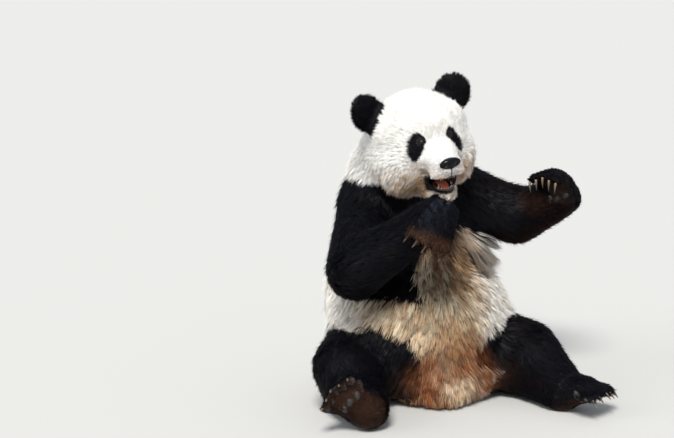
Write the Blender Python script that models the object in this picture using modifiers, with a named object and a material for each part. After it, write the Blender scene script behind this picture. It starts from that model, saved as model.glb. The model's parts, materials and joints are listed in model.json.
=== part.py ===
"""A giant panda sitting on its rump with its legs splayed, one hand at its chest, the other held out.

Blender script, metres, +Z up.  The panda faces -Y, its own left side is +X, and it sits on the plane
z = 0.  The outer faces follow the tips of the coat.  The flesh is modelled whole, from balls and
tapered limbs that a voxel remesh melts together, and is then parted with thin discs at the joints.
Eyes, nose pad, tongue, teeth and claws are inlaid in sockets a hair wider than themselves.
"""

import math

import bmesh
import bpy
from mathutils import Matrix, Vector
from mathutils.bvhtree import BVHTree

# ---------------------------------------------------------------- driving dimensions
FIT_GAP = 0.0004          # clearance round every inlaid piece, such as an eye or a claw
PARTING = 0.0008          # thickness of the thin cuts that part the body
VOXEL = 0.0065            # grain of the remesh that melts the balls together
WELD = 0.00003            # points of a cut nearer than this are one point
SKIN_TRIANGLES = 3120     # triangles of the whole flesh before it is parted
CLAW_LENGTH = 0.030
EYE_RADIUS = 0.0115

# Joint centres of the skeleton, before the model is moved over its own centre.
HEAD_AT = Vector((-0.038, -0.105, 0.766))
HEAD_TURN = -3.0          # degrees towards the panda's left
HEAD_NOD = -5.0           # degrees nose down
HEAD_TILT = 9.0           # degrees, crown towards the panda's right
NECK_BASE = Vector((0.0, 0.075, 0.600))
SHOULDER_RIGHT = Vector((-0.132, 0.040, 0.560))
ELBOW_RIGHT = Vector((-0.286, -0.175, 0.440))
WRIST_RIGHT = Vector((-0.086, -0.305, 0.620))
SHOULDER_LEFT = Vector((0.150, 0.045, 0.565))
ELBOW_LEFT = Vector((0.325, -0.020, 0.495))
WRIST_LEFT = Vector((0.398, -0.165, 0.578))
HIP_RIGHT = Vector((-0.150, -0.010, 0.130))
KNEE_RIGHT = Vector((-0.288, -0.118, 0.140))
ANKLE_RIGHT = Vector((-0.284, -0.256, 0.062))
HIP_LEFT = Vector((0.140, -0.010, 0.130))
KNEE_LEFT = Vector((0.275, -0.190, 0.125))
ANKLE_LEFT = Vector((0.302, -0.345, 0.056))

# Each paw: the way from wrist or ankle to the toes, the way its back faces, and the curl of its toes.
HAND_RIGHT = (Vector((-0.610, -0.720, -0.390)), Vector((0.115, -0.690, 0.700)), 19.0)
HAND_LEFT = (Vector((-0.440, 0.000, 0.890)), Vector((0.780, 0.300, 0.420)), 34.0)
FOOT_RIGHT = (Vector((-0.760, -0.100, 0.500)), Vector((0.150, 0.950, 0.250)), 10.0)
FOOT_LEFT = (Vector((0.420, -0.850, 0.200)), Vector((-0.150, 0.350, 0.900)), 10.0)


# ---------------------------------------------------------------- tools
def clear_scene():
    for old in list(bpy.data.objects):
        bpy.data.objects.remove(old, do_unlink=True)


def add_object(name, mesh):
    obj = bpy.data.objects.new(name, mesh)
    PANDA.objects.link(obj)
    return obj


def discard(obj):
    bpy.data.objects.remove(obj, do_unlink=True)


def axes(forward, top):
    """Rotation whose local -Y points forward, with local +Z as near top as it can be."""
    y = -forward.normalized()
    x = y.cross(top).normalized()
    return Matrix((x, y, x.cross(y))).transposed().to_4x4()


def ball(form, centre, radii, turn=Matrix.Identity(4), fineness=3):
    """An ellipsoid added to a form's bmesh."""
    place = Matrix.Translation(centre) @ turn @ Matrix.Diagonal((*radii, 1))
    bmesh.ops.create_icosphere(form, subdivisions=fineness, radius=1.0, matrix=place)


def limb(form, start, start_radius, end, end_radius, steps=7):
    """A tapered round limb: a chain of overlapping balls from start to end."""
    for i in range(steps + 1):
        share = i / steps
        ball(form, start.lerp(end, share), [start_radius + (end_radius - start_radius) * share] * 3)


def finished(form, name):
    mesh = bpy.data.meshes.new(name)
    form.to_mesh(mesh)
    form.free()
    return mesh


def settle(obj):
    """Replace an object's mesh by what its modifiers make of it."""
    bpy.context.view_layer.update()
    graph = bpy.context.evaluated_depsgraph_get()
    mesh = bpy.data.meshes.new_from_object(obj.evaluated_get(graph), depsgraph=graph)
    obj.modifiers.clear()
    obj.data = mesh
    return obj


def mend(obj):
    """Merge the slivers a cut leaves and close any pinhole."""
    form = bmesh.new()
    form.from_mesh(obj.data)
    bmesh.ops.remove_doubles(form, verts=form.verts, dist=WELD)
    bmesh.ops.dissolve_degenerate(form, dist=WELD, edges=form.edges)
    bmesh.ops.triangulate(form, faces=form.faces)
    open_edges = [edge for edge in form.edges if len(edge.link_faces) == 1]
    if open_edges:
        bmesh.ops.holes_fill(form, edges=open_edges, sides=8)
        bmesh.ops.recalc_face_normals(form, faces=form.faces)
        print(obj.name, "open edges closed", len(open_edges))
    form.to_mesh(obj.data)
    form.free()


def cut(obj, tool):
    """Take the tool's volume away from an object."""
    boolean = obj.modifiers.new("cut", "BOOLEAN")
    boolean.operation = "DIFFERENCE"
    boolean.solver = "EXACT"
    boolean.object = tool
    settle(obj)
    discard(tool)
    mend(obj)


def islands(mesh):
    """The separate closed pieces of a mesh, each as its own bmesh."""
    form = bmesh.new()
    form.from_mesh(mesh)
    left = set(form.verts)
    groups = []
    while left:
        front = [left.pop()]
        group = set(front)
        while front:
            vert = front.pop()
            for edge in vert.link_edges:
                other = edge.other_vert(vert)
                if other in left:
                    left.discard(other)
                    group.add(other)
                    front.append(other)
        groups.append({vert.index for vert in group})
    form.free()
    pieces = []
    for group in groups:
        piece = bmesh.new()
        piece.from_mesh(mesh)
        bmesh.ops.delete(piece, geom=[v for v in piece.verts if v.index not in group], context="VERTS")
        pieces.append(piece)
    return pieces


def disc(centre, normal, radius):
    """A thin disc, square to normal."""
    form = bmesh.new()
    turn = normal.to_track_quat("Z", "Y").to_matrix().to_4x4()
    bmesh.ops.create_cone(form, cap_ends=True, segments=24, radius1=radius, radius2=radius,
                          depth=PARTING, matrix=Matrix.Translation(centre) @ turn)
    return add_object("disc", finished(form, "disc"))


def part(whole, name, centre, normal, radius, anchor):
    """Part the piece that holds the anchor from the whole with a thin disc, and name it."""
    cut(whole, disc(centre, normal, radius))
    pieces = [p for p in islands(whole.data) if len(p.verts) > 8]
    pieces.sort(key=lambda piece: min((v.co - anchor).length for v in piece.verts))
    print(name, "parted from", whole.name, "pieces", [len(p.verts) for p in pieces])
    piece = add_object(name, finished(pieces[0], name))
    if len(pieces) != 2:
        raise RuntimeError(name + " is not parted cleanly")
    whole.data = finished(pieces[1], whole.name)
    return piece


def surface_point(tree, start, way):
    """Where a line from start, going along way, first meets the surface."""
    hit = tree.ray_cast(start, way.normalized())[0]
    return hit


clear_scene()
PANDA = bpy.data.collections.new("giant_panda")
bpy.context.scene.collection.children.link(PANDA)


# ---------------------------------------------------------------- head
def head_frame():
    """Head-local axes: -Y out of the nose, +Z through the crown, +X towards the panda's left."""
    turn = Matrix.Rotation(math.radians(HEAD_TURN), 4, "Z")
    nod = Matrix.Rotation(math.radians(HEAD_NOD), 4, "X")
    tilt = Matrix.Rotation(math.radians(-HEAD_TILT), 4, "Y")
    return Matrix.Translation(HEAD_AT) @ turn @ tilt @ nod


HEAD = head_frame()
HEAD_AXES = HEAD.to_3x3().to_4x4()


def head_ball(form, centre, radii, turn=Matrix.Identity(4)):
    ball(form, HEAD @ Vector(centre), radii, HEAD_AXES @ turn)


def head_form(form):
    """Crown, brow, cheeks, muzzle, lower jaw and ears, in head-local metres."""
    for centre, radii in (
        ((0, 0.035, 0.033), (0.134, 0.128, 0.130)),    # braincase
        ((0, -0.036, 0.040), (0.104, 0.078, 0.082)),   # brow
        ((0, -0.090, -0.020), (0.060, 0.066, 0.054)),  # root of the muzzle
        ((0, -0.133, -0.038), (0.050, 0.054, 0.039)),  # muzzle
        ((0, -0.020, -0.085), (0.090, 0.085, 0.060)),  # throat
        ((0, -0.060, -0.125), (0.054, 0.060, 0.030)),  # lower jaw
        ((0, -0.098, -0.132), (0.040, 0.040, 0.024)),  # chin
    ):
        head_ball(form, centre, radii)
    for side in (-1, 1):
        for centre, radii in (
            ((side * 0.066, 0.002, -0.032), (0.092, 0.100, 0.098)),   # cheek
            ((side * 0.080, 0.010, 0.040), (0.066, 0.085, 0.080)),    # temple
            ((side * 0.052, -0.045, 0.000), (0.062, 0.062, 0.068)),   # under the eye
            ((side * 0.024, -0.145, -0.056), (0.028, 0.034, 0.024)),  # upper lip
        ):
            head_ball(form, centre, radii)
        lean = Matrix.Rotation(math.radians(side * 40), 4, "Y") @ Matrix.Rotation(math.radians(side * -18), 4, "Z")
        head_ball(form, (side * 0.131, 0.040, 0.117), (0.055, 0.024, 0.061), lean)
        head_ball(form, (side * 0.108, 0.045, 0.088), (0.042, 0.030, 0.042), lean)


# ---------------------------------------------------------------- body
def trunk_form(form):
    for centre, radii in (
        ((0.000, 0.050, 0.150), (0.255, 0.215, 0.175)),    # pelvis
        ((-0.005, -0.020, 0.235), (0.283, 0.235, 0.220)),  # belly
        ((0.000, 0.095, 0.260), (0.250, 0.200, 0.230)),    # small of the back
        ((0.000, 0.025, 0.440), (0.190, 0.185, 0.190)),    # chest
        ((0.000, 0.090, 0.500), (0.190, 0.160, 0.180)),    # upper back
        ((0.010, -0.115, 0.150), (0.180, 0.125, 0.125)),   # lap
        ((0.045, -0.115, 0.074), (0.210, 0.122, 0.090)),   # lap, spreading between the thighs
        ((0.010, -0.160, 0.085), (0.116, 0.105, 0.095)),   # groin
        ((-0.036, 0.058, 0.655), (0.160, 0.148, 0.115)),   # nape
        ((0.000, 0.262, 0.070), (0.046, 0.034, 0.070)),    # tail
    ):
        ball(form, Vector(centre), radii)
    limb(form, NECK_BASE, 0.160, HEAD_AT + Vector((0.000, 0.085, -0.030)), 0.149)


def arm_form(form, shoulder, elbow, wrist):
    ball(form, shoulder, (0.106, 0.115, 0.112))
    limb(form, shoulder, 0.100, elbow, 0.088)
    limb(form, elbow, 0.086, wrist, 0.056)


def leg_form(form, hip, knee, ankle):
    limb(form, hip, 0.135, knee, 0.100)
    limb(form, knee, 0.098, ankle, 0.068)
    ham, calf = Vector((hip.x, hip.y - 0.02, 0.082)), Vector((knee.x * 0.96, knee.y, 0.086))
    limb(form, ham, 0.094, calf, 0.090)
    limb(form, calf, 0.090, Vector((ankle.x, ankle.y, 0.060)), 0.064)


def toe_frames(origin, way, curl, reach, spread, spacing, segment):
    """Frames down each of a paw's five toes, from knuckle to tip."""
    frames = []
    for i in range(-2, 3):
        at = way @ Vector((i * spacing, -reach + abs(i) * 0.006, 0.004 - abs(i) * 0.004))
        turn = way @ Matrix.Rotation(math.radians(i * spread), 4, "Z")
        chain = []
        place = origin + at
        for step in range(4):
            turn = turn @ Matrix.Rotation(math.radians(curl), 4, "X")
            chain.append((place.copy(), turn.copy()))
            place = place + turn.to_3x3() @ Vector((0, -segment, 0))
        frames.append(chain)
    return frames


def hand_form(form, wrist, pose):
    """Palm and five fingers; returns the claw frames."""
    forward, top, curl = pose
    turn = axes(forward, top)
    ball(form, wrist + turn.to_3x3() @ Vector((0, -0.038, 0)), (0.061, 0.064, 0.040), turn)
    claws = []
    for chain in toe_frames(wrist, turn, curl, 0.076, 5, 0.0235, 0.021):
        for place, way in chain[:3]:
            ball(form, place, (0.0185, 0.0200, 0.0175), way, 2)
        place, way = chain[3]
        claws.append((place, way))
    return claws


def foot_form(form, ankle, pose):
    """Heel, sole and five toes; returns the claw frames."""
    forward, top, curl = pose
    turn = axes(forward, top)
    ball(form, ankle, (0.060, 0.064, 0.056), turn)
    ball(form, ankle + turn.to_3x3() @ Vector((0, -0.055, 0)), (0.061, 0.072, 0.044), turn)
    claws = []
    for chain in toe_frames(ankle, turn, curl, 0.104, 4, 0.0245, 0.017):
        for place, way in chain[:3]:
            ball(form, place, (0.0195, 0.0200, 0.0185), way, 2)
        place, way = chain[3]
        claws.append((place, way))
    return claws


form = bmesh.new()
trunk_form(form)
head_form(form)
arm_form(form, SHOULDER_RIGHT, ELBOW_RIGHT, WRIST_RIGHT)
arm_form(form, SHOULDER_LEFT, ELBOW_LEFT, WRIST_LEFT)
leg_form(form, HIP_RIGHT, KNEE_RIGHT, ANKLE_RIGHT)
leg_form(form, HIP_LEFT, KNEE_LEFT, ANKLE_LEFT)
CLAWS = {
    "hand_right": hand_form(form, WRIST_RIGHT, HAND_RIGHT),
    "hand_left": hand_form(form, WRIST_LEFT, HAND_LEFT),
    "foot_right": foot_form(form, ANKLE_RIGHT, FOOT_RIGHT),
    "foot_left": foot_form(form, ANKLE_LEFT, FOOT_LEFT),
}
flesh = add_object("flesh", finished(form, "flesh"))


def melt(obj):
    """Melt the balls into one skin, softer over the body than over the face and paws."""
    remesh = obj.modifiers.new("melt", "REMESH")
    remesh.mode = "VOXEL"
    remesh.voxel_size = VOXEL
    settle(obj)
    keen = [(HEAD @ Vector((0, -0.10, -0.05)), 0.17), (HEAD @ Vector((0.13, 0.02, 0.12)), 0.09),
            (HEAD @ Vector((-0.13, 0.02, 0.12)), 0.09)]
    keen += [(chain[0], 0.11) for claws in CLAWS.values() for chain in claws[1:4]]
    group = obj.vertex_groups.new(name="broad")
    for vert in obj.data.vertices:
        reach = min((vert.co - at).length / span for at, span in keen)
        group.add([vert.index], min(max((reach - 0.8) / 0.5, 0.0), 1.0), "REPLACE")
    soft = obj.modifiers.new("soften_body", "SMOOTH")
    soft.factor = 0.5
    soft.iterations = 45
    soft.vertex_group = "broad"
    fine = obj.modifiers.new("soften_all", "SMOOTH")
    fine.factor = 0.5
    fine.iterations = 5
    settle(obj)
    obj.vertex_groups.clear()


melt(flesh)


# ---------------------------------------------------------------- face openings and the floor
def mouth_tool():
    """A wedge between the lips, its thin end at the back of the mouth."""
    form = bmesh.new()
    corners = []
    for y, top, low, half in ((-0.044, -0.080, -0.090, 0.024), (-0.085, -0.0715, -0.100, 0.040),
                              (-0.116, -0.0700, -0.109, 0.050), (-0.215, -0.0700, -0.150, 0.064)):
        middle = top + (low - top) * 0.35
        for x, z in ((0, top), (0, low), (half * 0.62, top), (half * 0.62, low), (half, middle)):
            corners += [form.verts.new(HEAD @ Vector((side * x, y, z))) for side in ((-1, 1) if x else (1,))]
    bmesh.ops.convex_hull(form, input=corners)
    return add_object("mouth_tool", finished(form, "mouth_tool"))


def floor_tool():
    form = bmesh.new()
    bmesh.ops.create_cube(form, size=2.0, matrix=Matrix.Translation((0, 0, -1)))
    return add_object("floor_tool", finished(form, "floor_tool"))


def eye_centre(tree, side):
    """Centre of an eyeball, set so that it stands a little out of the coat around it."""
    start = HEAD @ Vector((side * 0.030, 0.0, 0.030))
    hit = surface_point(tree, start, HEAD_AXES.to_3x3() @ Vector((side * 0.130, -1.0, 0.02)))
    inward = (HEAD_AXES.to_3x3() @ Vector((side * 0.30, -1.0, 0.04))).normalized()
    return hit - inward * (EYE_RADIUS - 0.0035)


skin_tree = BVHTree.FromObject(flesh, bpy.context.evaluated_depsgraph_get())
EYES = {"eye_left": eye_centre(skin_tree, 1), "eye_right": eye_centre(skin_tree, -1)}

lean = flesh.modifiers.new("lean", "DECIMATE")
lean.ratio = SKIN_TRIANGLES / sum(len(face.vertices) - 2 for face in flesh.data.polygons)
settle(flesh)
cut(flesh, mouth_tool())
cut(flesh, floor_tool())

# ---------------------------------------------------------------- parting the flesh
def head_point(*at):
    return HEAD @ Vector(at)


def head_way(*way):
    return HEAD_AXES.to_3x3() @ Vector(way)


def parted_ear(name, side):
    return part(flesh, name, head_point(side * 0.124, 0.044, 0.106), head_way(side * 0.80, 0.05, 0.62),
                0.075, head_point(side * 0.150, 0.040, 0.140))


def bend(before, joint, after):
    """The way a limb runs through a joint, halfway between its two bones."""
    return (joint - before).normalized() + (after - joint).normalized()


def parted_limb(names, root, radius, joints, toes, reach=0.140):
    """Part a limb from the trunk at its root, then at its two lower joints."""
    top, middle, low = joints
    upper = part(flesh, names[0], root[0], root[1], radius, middle)
    lower = part(upper, names[1], middle, bend(top, middle, low), 0.200, low)
    paw = part(lower, names[2], low, bend(middle, low, toes), reach, toes)
    return upper, lower, paw


NODES = []
NODES.append(parted_ear("ear_left", 1))
NODES.append(parted_ear("ear_right", -1))
NODES.append(part(flesh, "jaw", head_point(0, -0.083, -0.112), head_way(0, -0.93, -0.40), 0.062,
                  head_point(0, -0.125, -0.135)))
NODES.append(part(flesh, "head", Vector((-0.043, -0.047, 0.722)), Vector((-0.05, -0.76, 0.65)), 0.205,
                  head_point(0, -0.05, 0.15)))
NODES += parted_limb(("upper_arm_right", "forearm_right", "hand_right"),
                     (Vector((-0.207, -0.078, 0.494)), Vector((-0.78, -0.55, 0.30))), 0.155,
                     (SHOULDER_RIGHT, ELBOW_RIGHT, WRIST_RIGHT), WRIST_RIGHT + HAND_RIGHT[0] * 0.07)
NODES += parted_limb(("upper_arm_left", "forearm_left", "hand_left"),
                     (Vector((0.222, 0.008, 0.553)), Vector((0.96, -0.24, 0.12))), 0.160,
                     (SHOULDER_LEFT, ELBOW_LEFT, WRIST_LEFT), WRIST_LEFT + HAND_LEFT[0] * 0.07)
NODES += parted_limb(("thigh_right", "shin_right", "foot_right"),
                     (Vector((-0.205, -0.045, 0.135)), Vector((-0.85, -0.18, -0.50))), 0.245,
                     (HIP_RIGHT, KNEE_RIGHT, ANKLE_RIGHT), ANKLE_RIGHT + FOOT_RIGHT[0] * 0.10, 0.156)
NODES += parted_limb(("thigh_left", "shin_left", "foot_left"),
                     (Vector((0.210, -0.068, 0.135)), Vector((0.87, -0.31, -0.38))), 0.227,
                     (HIP_LEFT, KNEE_LEFT, ANKLE_LEFT), ANKLE_LEFT + FOOT_LEFT[0] * 0.10, 0.156)
NODES.append(part(flesh, "tail", Vector((0, 0.255, 0.075)), Vector((0, 0.97, -0.20)), 0.090, Vector((0, 0.29, 0.06))))
NODES.append(part(flesh, "neck", Vector((-0.015, 0.040, 0.696)), Vector((-0.03, -0.53, 0.85)), 0.235,
                  HEAD_AT + Vector((0, 0.10, 0.02))))
NODES.append(part(flesh, "chest", Vector((-0.010, 0.030, 0.378)), Vector((-0.05, -0.10, 0.99)), 0.300, Vector((0, 0.09, 0.56))))
flesh.name = "belly"
NODES.append(flesh)


# ---------------------------------------------------------------- inlaid pieces
def by_name(name):
    return bpy.data.objects[name]


def grown(obj, gap):
    """A copy of an object, larger all round by a gap, to cut its socket with."""
    tool = add_object("tool_" + obj.name, obj.data.copy())
    bpy.context.view_layer.update()
    moved = [vert.co + vert.normal * gap for vert in obj.data.vertices]
    for vert, co in zip(tool.data.vertices, moved):
        vert.co = co
    return tool


def inlay(obj, *hosts, gap=FIT_GAP):
    """Sink a piece in its hosts: each host loses the piece's volume and the gap round it."""
    for host in hosts:
        cut(by_name(host), grown(obj, gap))
    NODES.append(obj)
    return obj


def claw(name, place, way, length, base, droop):
    """A curved tapered claw growing along the frame's -Y and bending to its -Z."""
    form = bmesh.new()
    rings = []
    sides, steps = 5, 4
    turn = way.copy()
    at = place - turn.to_3x3() @ Vector((0, -1, 0)) * length * 0.25
    for step in range(steps):
        share = step / steps
        radius = base * (1.0 - share ** 1.6)
        ring = []
        for k in range(sides):
            angle = math.tau * k / sides
            local = Vector((math.cos(angle) * radius * 0.72, 0, math.sin(angle) * radius))
            ring.append(form.verts.new(at + turn.to_3x3() @ local))
        rings.append(ring)
        turn = turn @ Matrix.Rotation(math.radians(droop / steps), 4, "X")
        at = at + turn.to_3x3() @ Vector((0, -1, 0)) * (length * 1.25 / steps)
    tip = form.verts.new(at)
    for low, high in zip(rings, rings[1:]):
        for k in range(sides):
            form.faces.new((low[k], low[(k + 1) % sides], high[(k + 1) % sides], high[k]))
    for k in range(sides):
        form.faces.new((rings[-1][k], rings[-1][(k + 1) % sides], tip))
    form.faces.new(list(reversed(rings[0])))
    bmesh.ops.recalc_face_normals(form, faces=form.faces)
    return add_object(name, finished(form, name))


for paw, claws in CLAWS.items():
    front = paw.startswith("hand")
    for number, (place, way) in enumerate(claws):
        piece = claw("claw_%s_%d" % (paw, number + 1), place, way, CLAW_LENGTH * (1.0 if front else 0.8),
                     0.0056, 24)
        inlay(piece, paw)


def eyeball(name, centre):
    form = bmesh.new()
    bmesh.ops.create_uvsphere(form, u_segments=12, v_segments=7, radius=EYE_RADIUS,
                              matrix=Matrix.Translation(centre) @ HEAD_AXES @ Matrix.Rotation(math.pi / 2, 4, "X"))
    return inlay(add_object(name, finished(form, name)), "head")


for name, centre in EYES.items():
    eyeball(name, centre)


def nose_pad():
    """Broad above, drawn in below, with two nostrils."""
    form = bmesh.new()
    bmesh.ops.create_icosphere(form, subdivisions=2, radius=1.0)
    for vert in form.verts:
        x, y, z = vert.co
        vert.co = HEAD @ Vector((x * (0.0265 + 0.0085 * z), -0.1765 + y * 0.0150 - 0.003 * z, -0.0290 + z * 0.0175))
    pad = add_object("nose", finished(form, "nose"))
    for side in (-1, 1):
        form = bmesh.new()
        ball(form, head_point(side * 0.0155, -0.1945, -0.0320), (0.0066, 0.0080, 0.0048),
             HEAD_AXES @ Matrix.Rotation(math.radians(side * 20), 4, "Y"), 1)
        cut(pad, add_object("nostril", finished(form, "nostril")))
    return inlay(pad, "head")


nose_pad()


def tongue():
    form = bmesh.new()
    bmesh.ops.create_icosphere(form, subdivisions=2, radius=1.0)
    for vert in form.verts:
        x, y, z = vert.co
        hollow = 0.0030 * math.exp(-(x / 0.35) ** 2) * max(z, 0.0)
        vert.co = HEAD @ Vector((x * (0.0215 + 0.0030 * y), -0.0930 + y * 0.0330,
                                 -0.1040 + 0.34 * y * 0.0330 + z * 0.0085 - hollow))
    return inlay(add_object("tongue", finished(form, "tongue")), "jaw", "head")


tongue()


def tooth(form, base, tip, radius):
    """One cone of a tooth, from its root to its point."""
    way = tip - base
    turn = way.to_track_quat("Z", "Y").to_matrix().to_4x4()
    bmesh.ops.create_cone(form, cap_ends=True, segments=10, radius1=radius, radius2=radius * 0.35,
                          depth=way.length, matrix=Matrix.Translation((base + tip) / 2) @ turn)


def tooth_row(name, rise, arch_y, arch_z, slope, half, host):
    """A row of six incisors between two canines, with two cheek teeth a side, joined at their roots."""
    form = bmesh.new()
    up = head_way(0, 0, 1) * rise
    spots = [(0.12, 0.0075, 0.0031), (0.38, 0.0075, 0.0031), (0.64, 0.0080, 0.0033), (0.94, 0.0170, 0.0048),
             (1.28, 0.0070, 0.0042), (1.62, 0.0070, 0.0046)]
    for side in (-1, 1):
        last = None
        for share, height, radius in spots:
            angle = share * math.radians(62)
            root = head_point(side * half * math.sin(angle), arch_y + half * 1.35 * (1 - math.cos(angle)),
                              arch_z + slope * half * 1.35 * (1 - math.cos(angle)))
            tooth(form, root - up * 0.0030, root + up * height, radius)
            for k in range(4 if last is not None else 0):
                ball(form, last.lerp(root, k / 3) - up * 0.0020, [0.0034] * 3, HEAD_AXES, 1)
            if last is None:
                ball(form, root - up * 0.0020, [0.0034] * 3, HEAD_AXES, 1)
            last = root
    obj = add_object(name, finished(form, name))
    remesh = obj.modifiers.new("melt", "REMESH")
    remesh.mode = "VOXEL"
    remesh.voxel_size = 0.0014
    settle(obj)
    lean = obj.modifiers.new("lean", "DECIMATE")
    lean.ratio = 230 / sum(len(face.vertices) - 2 for face in obj.data.polygons)
    settle(obj)
    return inlay(obj, *host, gap=2.5 * FIT_GAP)


tooth_row("teeth_lower", 1, -0.1290, -0.1120, 0.36, 0.0245, ("jaw", "head"))
tooth_row("teeth_upper", -1, -0.1560, -0.0700, 0.00, 0.0265, ("head",))


# ---------------------------------------------------------------- colours and the model's own centre
def material(name, colour, roughness):
    made = bpy.data.materials.new(name)
    made.use_nodes = True
    shader = made.node_tree.nodes["Principled BSDF"]
    shader.inputs["Base Color"].default_value = (*colour, 1.0)
    shader.inputs["Roughness"].default_value = roughness
    made.diffuse_color = (*colour, 1.0)
    return made


WHITE = material("white_coat", (0.80, 0.76, 0.68), 0.85)
BLACK = material("black_coat", (0.020, 0.018, 0.018), 0.80)
HORN = material("claw_horn", (0.42, 0.36, 0.28), 0.40)
EYE = material("eye", (0.015, 0.010, 0.008), 0.10)
NOSE = material("nose_leather", (0.015, 0.014, 0.015), 0.45)
TONGUE = material("tongue", (0.60, 0.17, 0.12), 0.40)
TEETH = material("teeth", (0.80, 0.74, 0.58), 0.30)

for obj in NODES:
    kind = obj.name.split("_")[0]
    paint = {"claw": HORN, "eye": EYE, "nose": NOSE, "tongue": TONGUE, "teeth": TEETH, "head": WHITE,
             "jaw": WHITE, "neck": WHITE, "belly": WHITE, "tail": WHITE}.get(kind, BLACK)
    obj.data.materials.clear()
    obj.data.materials.append(paint)
    for face in obj.data.polygons:
        face.material_index = 0
        face.use_smooth = False
    obj.data.name = obj.name

corners = [vert.co for obj in NODES for vert in obj.data.vertices]
low = Vector([min(co[k] for co in corners) for k in range(3)])
high = Vector([max(co[k] for co in corners) for k in range(3)])
SHIFT = Vector((-(low.x + high.x) / 2, -(low.y + high.y) / 2, -low.z))
for obj in NODES:
    obj.data.transform(Matrix.Translation(SHIFT))
print("nodes", len(NODES), "size", [round(v, 4) for v in high - low], "shift", [round(v, 4) for v in SHIFT])
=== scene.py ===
# %% [markdown]
# # A seated giant panda
# A museum animal is judged by its coat, its face and its stance. The stance is already settled by the frame,
# which gives every part of the body out to the tips of the fur. This lesson makes the rest in layers, as a
# taxidermist would: one skin, the bare parts set in it, and then the coat, lock by lock.
# %% Tools and the frame
import json
import math

import bmesh
import bpy
import numpy as np
from mathutils import Matrix, Vector
from mathutils.bvhtree import BVHTree
from mathutils.kdtree import KDTree

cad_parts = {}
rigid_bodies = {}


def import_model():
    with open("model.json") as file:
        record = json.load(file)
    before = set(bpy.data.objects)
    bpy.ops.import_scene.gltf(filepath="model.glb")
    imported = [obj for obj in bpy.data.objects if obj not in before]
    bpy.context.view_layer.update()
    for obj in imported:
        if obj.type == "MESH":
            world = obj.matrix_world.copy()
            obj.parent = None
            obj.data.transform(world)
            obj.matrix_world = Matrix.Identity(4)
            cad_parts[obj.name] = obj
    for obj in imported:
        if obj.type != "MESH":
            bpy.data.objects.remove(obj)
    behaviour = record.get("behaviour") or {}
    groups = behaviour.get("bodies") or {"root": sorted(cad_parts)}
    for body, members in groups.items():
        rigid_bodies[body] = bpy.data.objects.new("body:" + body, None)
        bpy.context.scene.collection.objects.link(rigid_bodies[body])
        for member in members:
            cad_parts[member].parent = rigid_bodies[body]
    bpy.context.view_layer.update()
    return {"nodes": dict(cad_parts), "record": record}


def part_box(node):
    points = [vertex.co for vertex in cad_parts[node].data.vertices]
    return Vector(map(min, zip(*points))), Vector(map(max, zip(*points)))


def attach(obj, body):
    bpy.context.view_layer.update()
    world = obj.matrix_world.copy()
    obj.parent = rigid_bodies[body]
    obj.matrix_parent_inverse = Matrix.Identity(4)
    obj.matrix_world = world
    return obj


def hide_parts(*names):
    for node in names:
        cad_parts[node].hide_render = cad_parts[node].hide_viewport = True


for old in list(bpy.data.objects):
    bpy.data.objects.remove(old, do_unlink=True)

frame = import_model()

SLOT_OF = {row["node"]: row["material_slot"] for row in frame["record"]["subparts"]}
FLESH = sorted(node for node, slot in SLOT_OF.items() if slot.endswith("coat"))
BLACK_NODES = [node for node in FLESH if SLOT_OF[node] == "black_coat"]
SIDES = {"left": 1, "right": -1}      # and the sign of the head's x on that side
PAWS = ("hand_left", "hand_right", "foot_left", "foot_right")
CHANCE = np.random.default_rng(20)
print("flesh nodes", len(FLESH), "of which black", len(BLACK_NODES))


# %% [markdown]
# ## Finding the skeleton
# Nothing is fitted by eye. Two neighbouring parts share a thin cut, so the middle of the points where one
# lies against the other is the joint between them. The head's own axes are turned as the head is, and start
# from the nose.
# %% Joints and axes
def node_points(name):
    """The corners of a CAD node, each once, in metres."""
    points = np.array([vert.co for vert in frame["nodes"][name].data.vertices])
    return np.unique(points.round(5), axis=0)


def node_tree(*names):
    """A search tree over CAD nodes, and which of the names each of its triangles is from."""
    corners, faces, owner = [], [], []
    for index, name in enumerate(names):
        mesh = frame["nodes"][name].data
        faces += [[len(corners) + corner for corner in face.vertices] for face in mesh.polygons]
        corners += [vert.co for vert in mesh.vertices]
        owner += [index] * len(mesh.polygons)
    return BVHTree.FromPolygons(corners, faces), owner


def joint(part, neighbour, reach=0.002):
    """The middle of the cut between two neighbouring nodes."""
    tree, _ = node_tree(neighbour)
    near = [p for p in node_points(part) if tree.find_nearest(Vector(p), reach)[0] is not None]
    return Vector(np.mean(near, axis=0))


def middle(name):
    low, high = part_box(name)
    return (low + high) / 2


def unit(rows):
    """Rows scaled to length one."""
    return rows / np.maximum(np.linalg.norm(rows, axis=-1, keepdims=True), 1e-9)


HEAD_TURN, HEAD_TILT, HEAD_NOD = -3.0, 9.0, -5.0      # degrees
NOSE_ON_HEAD = Vector((-0.001, -0.1765, -0.0288))     # middle of the nose pad on the head's own axes
turn, tilt, nod = (Matrix.Rotation(math.radians(angle), 3, axis)
                   for angle, axis in ((HEAD_TURN, "Z"), (-HEAD_TILT, "Y"), (HEAD_NOD, "X")))
HEAD_AXES = turn @ tilt @ nod
HEAD_AT = middle("nose") - HEAD_AXES @ NOSE_ON_HEAD
HEAD = Matrix.Translation(HEAD_AT) @ HEAD_AXES.to_4x4()
FACE_AT = np.array(HEAD @ Vector((0, -0.12, -0.04)))


def on_head(points):
    """Points on the head's own axes: -Y out of the nose, +Z through the crown, +X to the panda's left."""
    return (points - np.array(HEAD_AT)) @ np.array(HEAD_AXES)


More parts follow.
